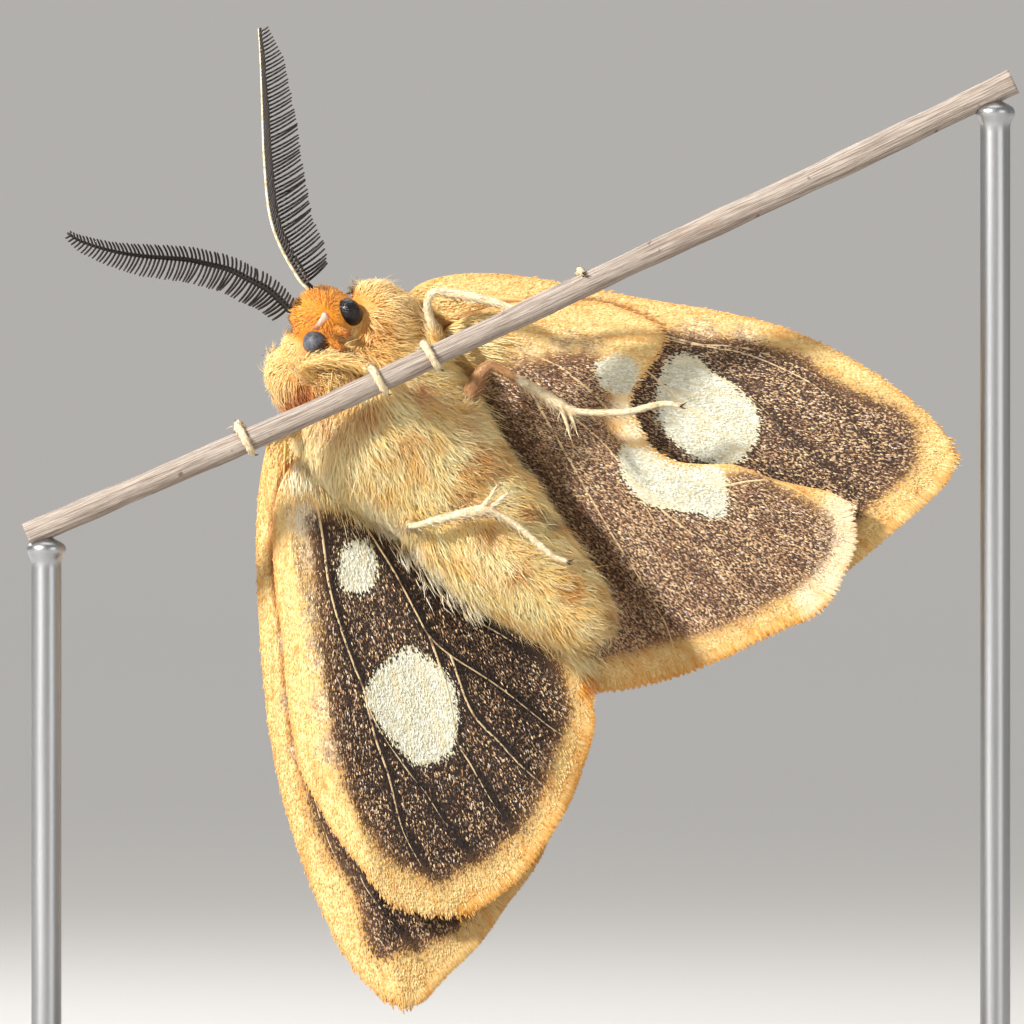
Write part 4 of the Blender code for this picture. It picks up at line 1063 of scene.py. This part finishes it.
def barePieces():
    line = curved(fronsLine, 8)
    radii = np.interp(np.linspace(0, 1, len(line)), *face["barShape"])
    bar = makePiece("frons", *tubeMesh(line, radii, 16, flat=0.6, across=(0.8, 0, 0.6)))
    paint = Paint("fronsSkin", 0.3, specular=0.6)
    cloud = paint.noise(2500.0, detail=3.0)
    paint.set(Base_Color=paint.blend(paint.ease(cloud, 0.40, 0.68), (196, 112, 84), (238, 196, 178)))
    finishPiece(bar, paint.bump(cloud, 0.00001, 0.5).material)
    for name, path in zip(("left", "right"), face["palps"]):
        line = curved([placed(*p) for p in path], 8)
        radii = face["palpRadius"] * np.interp(np.linspace(0, 1, len(line)), *face["palpShape"])
        points, faces = tubeMesh(line, radii, face["palpSides"])
        way = np.vstack([np.repeat(unit(np.gradient(line, axis=0)), face["palpSides"], 0),
                         np.repeat(unit(line[-1:] - line[:1]), 2, 0)])
        stem = makePiece("palp_" + name, points, faces, palpMarks(points, line))
        roots, outs, ways = scatter(points, faces, face["palpTufts"], draw, [way])
        n = len(roots)
        ways = unit(ways) + draw.normal(0, 0.2, (n, 3))
        lengths, widths, rises = (draw.uniform(*v, n) for v in ((0.12, 0.26), (0.028, 0.05), (0.03, 0.10)))
        spots = np.stack([draw.uniform(size=n), draw.uniform(size=n)], -1)
        coat = furPiece("palpFur_" + name, roots - outs * 0.02, outs, ways, lengths, widths, rises, draw,
                        spots, palpMarks(roots, line))
        finishPiece(stem, furDown)
        finishPiece(coat, furPaint)


def palpMarks(points, line):      # orange, turning rufous at the tip
    share = ((points - line[0]) @ unit(line[-1] - line[0])) / np.linalg.norm(line[-1] - line[0])
    flat = np.zeros(len(points))
    return {"headShare": flat + 1, "ochre": flat, "pale": flat, "tail": flat, "white": flat, "dark": flat,
            "clump": flat + 0.6, "rufous": easing((share - 0.55) / 0.4) * 0.9}


barePieces()

# feelers: a shaft with two rows of fine teeth
feelers = {
    "left": {"path": [(311, 289, 2.6), (300, 277, 2.6), (281, 243, 2.55), (271, 210, 2.5), (266, 158, 2.4),
                      (264, 109, 2.25), (262, 60, 2.1), (260, 30, 2.0)],
             "at": [0, 0.03, 0.1, 0.35, 0.6, 0.85, 1],
             "rows": ((10, [0.95, 1.2, 1.55, 1.68, 1.42, 0.95, 0.35]),
                      (77, [0.85, 1.1, 1.4, 1.5, 1.2, 0.75, 0.3])),
             "slant": ([0, 0.12, 0.35, 1], [-0.12, 0.02, 0.34, 0.42]), "pale": 1.0},
    "right": {"path": [(294, 314, 2.6), (270, 291, 2.55), (248, 279, 2.5), (230, 270, 2.45), (206, 264, 2.4),
                       (186, 260, 2.3), (147, 257, 2.2), (119, 253, 2.1), (96, 247, 2.0), (80, 241, 1.95),
                       (69, 234, 1.9)],
              "at": [0, 0.03, 0.15, 0.4, 0.65, 0.9, 1],
              "rows": ((138, [0.7, 1.05, 1.3, 1.28, 1.1, 0.6, 0.25]),
                       (64, [0.6, 0.95, 1.15, 1.15, 1.05, 0.6, 0.25])),
              "slant": ([0, 0.3, 1], [0.02, 0.06, 0.25]), "pale": 0.0},
    "pitch": 0.16, "shaft": 0.135, "shaftSides": 10, "tooth": 0.053, "toothSides": 5, "bow": 0.14,
    "toothShape": np.array([1.2, 1.05, 1.0, 1.0, 0.95, 0.75])}


def feeler(side):
    form = feelers[side]
    path = evenly(curved(placed(*np.array(form["path"], float).T), 12), feelers["pitch"])
    n = len(path)
    ahead = unit(np.gradient(path, axis=0))
    share = np.linspace(0, 1, n)
    points, faces = tubeMesh(path, feelers["shaft"] * (1.15 - 0.75 * share), feelers["shaftSides"])
    near = np.array([0.0, -1.0, 0.0])
    # the shaft is scaled pale along the side away from the teeth
    outer = -np.cross(ahead, near)
    middles, outer = (np.repeat(v, feelers["shaftSides"], 0) for v in (path, unit(outer)))
    pale = easing(((unit(points[:-2] - middles) * outer).sum(1) - 0.35) / 0.3) * form["pale"]
    parts = [(points, faces, {"tooth": np.zeros(len(points)), "edge": np.append(pale, [0, 0])})]
    for turn, reaches in form["rows"]:
        for i in range(2, n - 1):
            beside = np.cross(ahead[i], near)
            level = beside * math.cos(math.radians(turn)) + near * math.sin(math.radians(turn))
            reach = np.interp(share[i], form["at"], reaches) * draw.uniform(0.97, 1.03)
            slant = np.interp(share[i], *form["slant"]) + draw.normal(0, 0.02)
            way = level * math.cos(slant) + ahead[i] * math.sin(slant)
            steps = np.linspace(0, 1, 6)[:, None]
            bow = ahead[i] * feelers["bow"] * reach * (steps ** 2 - 0.5 * steps)
            radii = feelers["tooth"] * feelers["toothShape"] * (1.05 - 0.25 * share[i])
            points, faces = tubeMesh(path[i] + way * reach * steps + bow, radii, feelers["toothSides"])
            out = np.append(np.repeat(steps[:, 0], feelers["toothSides"]), [0, 1.0])
            parts.append((points, faces, {"tooth": out, "edge": np.zeros(len(points))}))
    points, faces, floats = joinMeshes(parts)
    return makePiece("feeler_" + side, points, faces, floats)


def feelerMaterial():
    paint = Paint("feelerComb", 0.55, sheen=0.1)
    fine = paint.noise(6000.0)
    comb = paint.blend(paint.ease(fine, 0.4, 0.8), (36, 25, 17), (92, 64, 42))
    comb = paint.blend(paint.ease(paint.read("tooth"), 0.0, 0.25) * 0.35, (22, 14, 10), comb)
    shaft = paint.blend(paint.ease(fine, 0.35, 0.55), (206, 178, 130), (250, 238, 206))
    colour = paint.blend(paint.read("edge"), comb, shaft)
    return paint.set(Base_Color=colour).bump(fine, 0.00002, 0.6).material


print("feelers")
combPaint = feelerMaterial()
for side in ("left", "right"):
    finishPiece(feeler(side), combPaint, ["antenna_" + side])

# the stem
stem = {"line": [(30, 535), (200, 462), (320, 410), (434, 357), (640, 260), (820, 176), (1010, 84)],
        "radius": 0.46, "sides": 40, "step": 0.10,
        "thickness": ([0, 0.25, 0.45, 0.7, 1], [1.04, 1.0, 0.97, 1.07, 1.1])}
stemLine = evenly(curved([placed(x, y, 0.0) for x, y in stem["line"]], 10), stem["step"])


def stemPiece():
    ahead = unit(np.gradient(stemLine, axis=0))
    turn = np.arange(stem["sides"]) / stem["sides"] * math.tau
    front, rings, floats = np.array([0.0, -1, 0]), [], {"gone": [], "round": [], "level": []}
    gone = np.arange(len(stemLine)) * stem["step"]
    ridge = 0.020 * np.sin(turn * 9 + 1.3) + 0.012 * np.sin(turn * 14) + 0.010 * np.sin(turn * 5 + 0.5)
    for p, a, g in zip(stemLine, ahead, gone):
        up = np.cross(a, front)
        swell = 1 + 0.03 * math.sin(g * 0.9) + 0.02 * math.sin(g * 2.3 + 1)
        swell = swell + ridge * (0.8 + 0.4 * math.sin(g * 0.35))
        r = stem["radius"] * swell * np.interp(g / gone[-1], *stem["thickness"])
        rings.append(p + (r * np.cos(turn))[:, None] * front + (r * np.sin(turn))[:, None] * up)
        for key, value in (("gone", g), ("round", np.cos(turn)), ("level", np.sin(turn))):
            floats[key].append(np.broadcast_to(value, turn.shape))
    points = np.vstack(rings + [stemLine[:1] + ahead[:1] * 0.05, stemLine[-1:] - ahead[-1:] * 0.05])
    faces = ringFaces(len(stemLine), stem["sides"])[:, ::-1]
    floats = {key: np.append(np.concatenate(v), [0, 0]) for key, v in floats.items()}
    floats["cut"] = np.append(np.zeros(len(points) - 2), [1, 1])
    return makePiece("stemStalk", points, faces, floats)


def stemMaterial():
    paint = Paint("dryStem", 0.75, specular=0.35)
    around, level, gone, cut = paint.read("round", "level", "gone", "cut")
    where = paint.node("ShaderNodeCombineXYZ", {}, {0: around, 1: level, 2: gone * 0.055})
    grain = paint.noise(9.0, where, detail=6.0, rough=0.7)
    streak = paint.noise(24.0, where, detail=3.0)
    blotch = paint.noise(350.0, detail=4.0)
    ease = paint.ease
    colour = paint.coats(paint.blend(ease(grain, 0.32, 0.68), (120, 104, 94), (196, 184, 172)),
                         (ease(streak, 0.60, 0.72) * 0.7, (92, 76, 66)),
                         (ease(blotch, 0.52, 0.72) * 0.5, (168, 144, 122)),
                         (ease(paint.noise(1400.0), 0.68, 0.74) * 0.7, (84, 62, 50)), (cut, (214, 196, 158)))
    return paint.set(Base_Color=colour).bump(grain + streak * 0.6, 0.00005, 0.8).material


print("stem")
finishPiece(stemPiece(), stemMaterial(), ["stem"])

# legs: px, py, depth and radius from the body outwards, then how the foot grips the stem
legs = {
    "fore_left": {"path": [(402, 372, 3.0, .24), (414, 362, 2.2, .19), (424, 350, 1.35, .15)],
                  "grip": (429, 106, -62), "gold": 1.5},
    "fore_right": {"path": [(338, 394, 2.5, .30), (318, 379, 1.8, .27), (305, 367, 1.25, .22),
                            (320, 361, 1.0, .22), (337, 360, .82, .20), (353, 364, .72, .17),
                            (366, 369, .64, .15)],
                   "grip": (377, 108, -62), "gold": 3.0},
    "mid_left": {"path": [(441, 356, 2.9, .26), (435, 336, 2.4, .21), (428, 310, 2.1, .16),
                          (430, 297, 1.98, .15), (438, 292, 1.92, .15), (452, 294, 1.88, .17),
                          (470, 297, 1.8, .18), (494, 303, 1.65, .17), (514, 310, 1.5, .15),
                          (534, 306, 1.2, .14), (556, 293, 1.05, .13)],
                 "grip": (583, 150, 50), "gold": 1.6},
    "mid_right": {"path": [(300, 424, 3.1, .28), (282, 430, 2.5, .26), (262, 436, 2.0, .2),
                           (248, 433, 1.6, .17), (240, 424, 1.15, .15)], "grip": (246, 105, -66),
                           "gold": 1.6},
    "hind_left": {"path": [(462, 410, 3.3, .34), (473, 388, 2.85, .31), (483, 371, 2.55, .25),
                           (491, 366, 2.5, .20), (502, 371, 2.5, .17), (516, 379, 2.5, .18),
                           (534, 389, 2.55, .21), (556, 403, 2.6, .23), (568, 410, 2.6, .19),
                           (580, 412, 2.6, .13), (600, 413, 2.6, .13), (628, 412, 2.55, .13),
                           (648, 407, 2.5, .12), (664, 404, 2.5, .11), (679, 406, 2.45, .10)],
                  "spurs": [((559, 404, 2.5), (570, 437, 2.25)), ((566, 409, 2.6), (575, 427, 2.4))],
                            "gold": 0.9,
                  "warm": 1.5},
    "hind_right": {"path": [(424, 476, 3.3, .30), (417, 502, 3.4, .26), (409, 519, 3.1, .18),
                            (410, 525, 2.5, .14), (419, 525, 1.85, .13), (433, 521, 1.55, .15),
                            (458, 515, 1.4, .19), (482, 510, 1.32, .22), (490, 510, 1.3, .19),
                            (497, 514, 1.3, .13), (510, 521, 1.35, .13), (526, 533, 1.4, .12),
                            (541, 546, 1.42, .12), (555, 557, 1.45, .11), (566, 561, 1.45, .10)],
                   "spurs": [((484, 506, 1.25), (496, 487, .95)), ((491, 507, 1.25), (508, 493, 1.0))],
                             "gold": 2.4},
    "density": 230, "length": (0.10, 0.24), "width": (0.028, 0.046), "rise": (0.01, 0.06), "joint": 0.42,
    "step": 0.05, "sides": 14, "thighSpot": (484, 372, 2.5), "gripPoints": 7, "gripRadius": (0.17, 0.12)}


def gripArc(px, first, last, radius):      # the foot's way around the stem
    k = np.argmin(np.abs(stemLine[:, 0] - (px - gridMiddle) / grid))
    ahead = unit(stemLine[k + 1] - stemLine[k - 1])
    front = np.array([0.0, -1, 0])
    up = np.cross(front, ahead)
    up *= np.sign(up[2])
    turn, along = (np.linspace(*ends, legs["gripPoints"])[:, None]
                   for ends in ((math.radians(first), math.radians(last)), (0, 0.15)))
    reach = stem["radius"] + radius * 0.9
    return stemLine[k] + reach * (np.cos(turn) * front + np.sin(turn) * up) + ahead * along


def legParts(form):
    rows = np.array(form["path"], float)
    points, radii = placed(*rows[:, :3].T), rows[:, 3]
    if "grip" in form:
        arc = gripArc(*form["grip"], 0.15)
        points, radii = np.vstack([points, arc]), np.append(radii, np.linspace(*legs["gripRadius"], len(arc)))
    rows = evenly(curved(np.column_stack([points, radii]), 10), legs["step"])
    path, radii = rows[:, :3], rows[:, 3].copy()
    gone = np.arange(len(path)) * legs["step"]
    left = gone[-1] - gone
    foot = easing((2.6 - left) / 0.3)
    radii *= 1 + foot * (0.20 * ((left / legs["joint"]) % 1.0) - 0.08)
    points, faces = tubeMesh(path, radii, legs["sides"])
    ahead = unit(np.gradient(path, axis=0))
    lie = np.vstack([np.repeat(ahead, legs["sides"], 0), ahead[:1], ahead[-1:]])
    return path, ahead, (points, faces, {"claw": np.zeros(len(points))}), lie, foot


def legTints(points, form, start):   # gold hair on the thigh, a brown knee deepened as painted shade
    toSpot = np.linalg.norm(points - placed(*legs["thighSpot"]), axis=1)
    return {"warm": easing((form.get("warm", 0.0) - toSpot) / 0.3),
            "gold": easing((form["gold"] - np.linalg.norm(points - start, axis=1)) / 0.7)}


def legPiece(key, form):
    path, ahead, tube, lie, foot = legParts(form)
    parts = [tube]
    side = unit(np.cross(ahead[-1], path[-1] - path[-8] + [0.1, 0.3, 0.2]))
    inward = unit(np.cross(side, ahead[-1]))
    for sign in (-1, 1):          # two small hooked claws
        line = curved([path[-1], path[-1] + ahead[-1] * 0.16 + side * sign * 0.09,
                       path[-1] + ahead[-1] * 0.26 + side * sign * 0.14 + inward * 0.10], 4)
        points, faces = tubeMesh(line, np.linspace(0.05, 0.012, len(line)), 6)
        parts.append((points, faces, {"claw": np.ones(len(points))}))
    for start, end in form.get("spurs", []):
        start, end = placed(*start), placed(*end)
        line = curved([start, (start + end) / 2 + [0.03, -0.05, 0.02], end], 5)
        points, faces = tubeMesh(line, np.linspace(0.11, 0.03, len(line)), 8)
        parts.append((points, faces, {"claw": np.zeros(len(points))}))
        tube = (np.vstack([tube[0], points]), np.vstack([tube[1], faces + len(tube[0])]), {})
        lie = np.vstack([lie, np.repeat(unit(end - start)[None], len(points), 0)])
    points, faces, floats = joinMeshes(parts)
    limb = makePiece("leg_" + key, points, faces, {**floats, **legTints(points, form, path[0])})
    roots, outs, lies = scatter(tube[0], tube[1], legs["density"], draw, [lie])
    n = len(roots)
    near = np.argmin(np.linalg.norm(roots[:, None] - path[None, ::6], axis=2), 1) * 6
    lies = unit(unit(lies) + draw.normal(0, 0.16, (n, 3)))
    lies = unit(lies - outs * (lies * outs).sum(1)[:, None])
    gone = ((roots - path[0]) @ unit(path[-1] - path[0])) / np.linalg.norm(path[-1] - path[0])
    around = np.arctan2(outs[:, 1], outs[:, 2]) / math.tau + 0.5
    # golden thigh hair is longer, and a thin beard hangs below every shin
    marks = legTints(roots, form, path[0])
    gold = marks["gold"]
    beard = (draw.uniform(size=n) < 0.3) * (outs[:, 2] < -0.2) * (foot[near] < 0.2)
    lengths = draw.uniform(*legs["length"], n) * (1 + 1.4 * gold + 1.5 * beard)
    rises = draw.uniform(*legs["rise"], n) + (0.20 * gold + 0.30 * beard) * draw.uniform(0.3, 1.0, n)
    points, faces, tip, shade = tuftMesh(roots - outs * 0.02, lies, outs, lengths,
                                         draw.uniform(*legs["width"], n), rises)
    marks["tone"] = draw.uniform(size=n)
    floats = {key: perPoint(v) for key, v in marks.items()}
    coat = makePiece("legScales_" + key, points, faces, {**floats, "tip": tip},
                     tuftMap(np.stack([gone, around], -1)), shade=shade)
    return limb, coat


def legMaterial(name, loose):
    paint = Paint(name, 0.55, sheen=0.15)
    fine = paint.noise(5000.0, detail=3.0)
    tone = paint.read("tone") if loose else fine
    gold, warm = paint.read("gold", "warm")
    colour = paint.coats(paint.blend(paint.ease(tone, 0.1, 0.9), (206, 174, 122), (246, 234, 204)),
                         (paint.ease(tone, 0.90, 0.94) * 0.7, (166, 116, 68)),
                         (gold * 0.9, paint.blend(tone, (232, 176, 90), (253, 220, 144))),
                         # the knee's brown is deepened as painted shade
                         (warm * 0.90, paint.blend(tone, (124, 74, 34), (178, 124, 66))))
    if not loose:
        colour = paint.blend(paint.read("claw"), colour, (58, 34, 20))
        paint.bump(fine, 0.00003, 0.7)
    return paint.set(Base_Color=colour).material


print("legs")
legSkin, legCoat = legMaterial("legSkin", False), legMaterial("legScale", True)
for key, form in legs.items():
    if isinstance(form, dict):
        limb, coat = legPiece(key, form)
        pair = key.split("_")
        finishPiece(limb, legSkin, [f"{pair[0]}_leg_{pair[1]}"])
        finishPiece(coat, legCoat)

# the stand
stand = {"rods": {"left": -18.5, "right": 19.2}, "radius": 0.6, "foot": 3.0, "sides": 40,
         "cup": np.array([1, 1.04, 1.12, 1.22, 1.3, 1.3, 1.2, 0.9])}


def rodPiece(side, x):
    under = np.interp(x, stemLine[:, 0], stemLine[:, 2]) - stem["radius"]
    foot, cup = stand["foot"], stand["cup"]
    heights = np.concatenate([[foot + 0.25, foot + 0.35], np.linspace(foot + 0.6, under - 1.2, 30),
                              np.linspace(under - 1.0, under - 0.12, len(cup))])
    radii = np.full(len(heights), stand["radius"])
    radii[0] *= 0.9
    radii[-len(cup):] = stand["radius"] * cup
    path = np.stack([np.full(len(heights), x), np.full(len(heights), stemDepth), heights], -1)
    return makePiece("standRod_" + side, *tubeMesh(path, radii, stand["sides"]))


def standMaterials():
    metal = Paint("brushedSteel", 0.32, metallic=1.0)
    lines = metal.noise(1500.0, stretch=(1, 1, 0.03), detail=3.0)
    metal.set(Base_Color=metal.blend(lines, (150, 152, 156), (206, 208, 210)),
              Roughness=0.24 + lines * 0.22).bump(lines, 0.00001, 0.4)
    wood = Paint("darkOak", 0.45, specular=0.4)
    grain = wood.noise(420.0, stretch=(0.05, 1, 1), detail=6.0, rough=0.65)
    pores = wood.noise(2600.0, stretch=(0.04, 1, 1), detail=2.0)
    colour = wood.blend(wood.ease(grain, 0.3, 0.7), (60, 38, 24), (122, 84, 54))
    wood.set(Base_Color=wood.blend(wood.ease(pores, 0.62, 0.70) * 0.7, colour, (34, 20, 12)))
    wood.bump(grain + pores, 0.00004, 0.5)
    return metal.material, wood.material


print("stand")
steelPaint, oakPaint = standMaterials()
for side, x in stand["rods"].items():
    finishPiece(rodPiece(side, x), steelPaint, ["stand_rod_" + side])
for piece in bpy.data.objects:
    if piece.name.startswith("stand_base"):
        piece.data.materials.clear()
        piece.data.materials.append(oakPaint)


# camera, floor and lights
view = {"away": 600.0, "width": 1024 / grid, "film": 36.0, "aim": (0, 0, 26)}
camera = bpy.data.cameras.new("camera")
camera.sensor_width = view["film"]
camera.lens = view["film"] * view["away"] / view["width"]
camera.clip_start, camera.clip_end = 0.05, 10.0
cameraObject = bpy.data.objects.new("camera", camera)
cameraObject.location = (0, -view["away"] * mm, viewHeight * mm)
cameraObject.rotation_euler = (math.pi / 2, 0, 0)
bpy.context.scene.collection.objects.link(cameraObject)
bpy.context.scene.camera = cameraObject


def makeFloor():                  # a pale sheet that runs back and sweeps up
    profile = [(1400, 0), (1700, 0), (2000, 20), (2300, 110), (2550, 300), (2700, 600), (2750, 1000),
               (2750, 2600)]
    line = np.vstack([[(-2600.0, 0.0)], curved(profile, 6)])
    line[:, 1] = np.maximum(line[:, 1], 0)
    n = len(line)
    points = np.vstack([np.stack([np.full(n, x), line[:, 0], line[:, 1]], -1) for x in (-3500, 3500)])
    k = np.arange(n - 1)
    faces = np.stack([k, k + n, k + n + 1, k + 1], -1)
    floor = makePiece("floor", points, faces)
    paint = Paint("floorPaint", 0.9, specular=0.2)
    paint.shader.inputs["Base Color"].default_value = (0.56, 0.55, 0.535, 1)
    floor.data.materials.append(paint.material)


def makeLight(name, place, aim, size, power, colour=(1, 1, 1)):
    lamp = bpy.data.lights.new(name, "AREA")
    lamp.shape, lamp.size, lamp.energy, lamp.color = "DISK", size * mm, power, colour
    ob = bpy.data.objects.new(name, lamp)
    ob.location = Vector(place) * mm
    ob.rotation_euler = (Vector(aim) - Vector(place)).to_track_quat("-Z", "Y").to_euler()
    bpy.context.scene.collection.objects.link(ob)


makeFloor()
makeLight("keyLight", (-430, -375, 310), view["aim"], 62, 6.9, (1.0, 0.97, 0.92))
makeLight("fillLight", (300, -360, 120), view["aim"], 300, 0.40, (1.0, 0.98, 0.95))
makeLight("topLight", (0, 60, 420), (0, 0, 20), 300, 0.40)
makeLight("backLight", (-150, 210, 200), view["aim"], 140, 0.4)
makeLight("wallLight", (0, 1500, 2400), (0, 1900, 0), 1500, 26)
world = bpy.data.worlds.new("studio")
world.use_nodes = True
world.node_tree.nodes["Background"].inputs["Color"].default_value = (1.0, 0.97, 0.94, 1)
world.node_tree.nodes["Background"].inputs["Strength"].default_value = 0.34
bpy.context.scene.world = world
bpy.context.scene.view_settings.view_transform = "Standard"
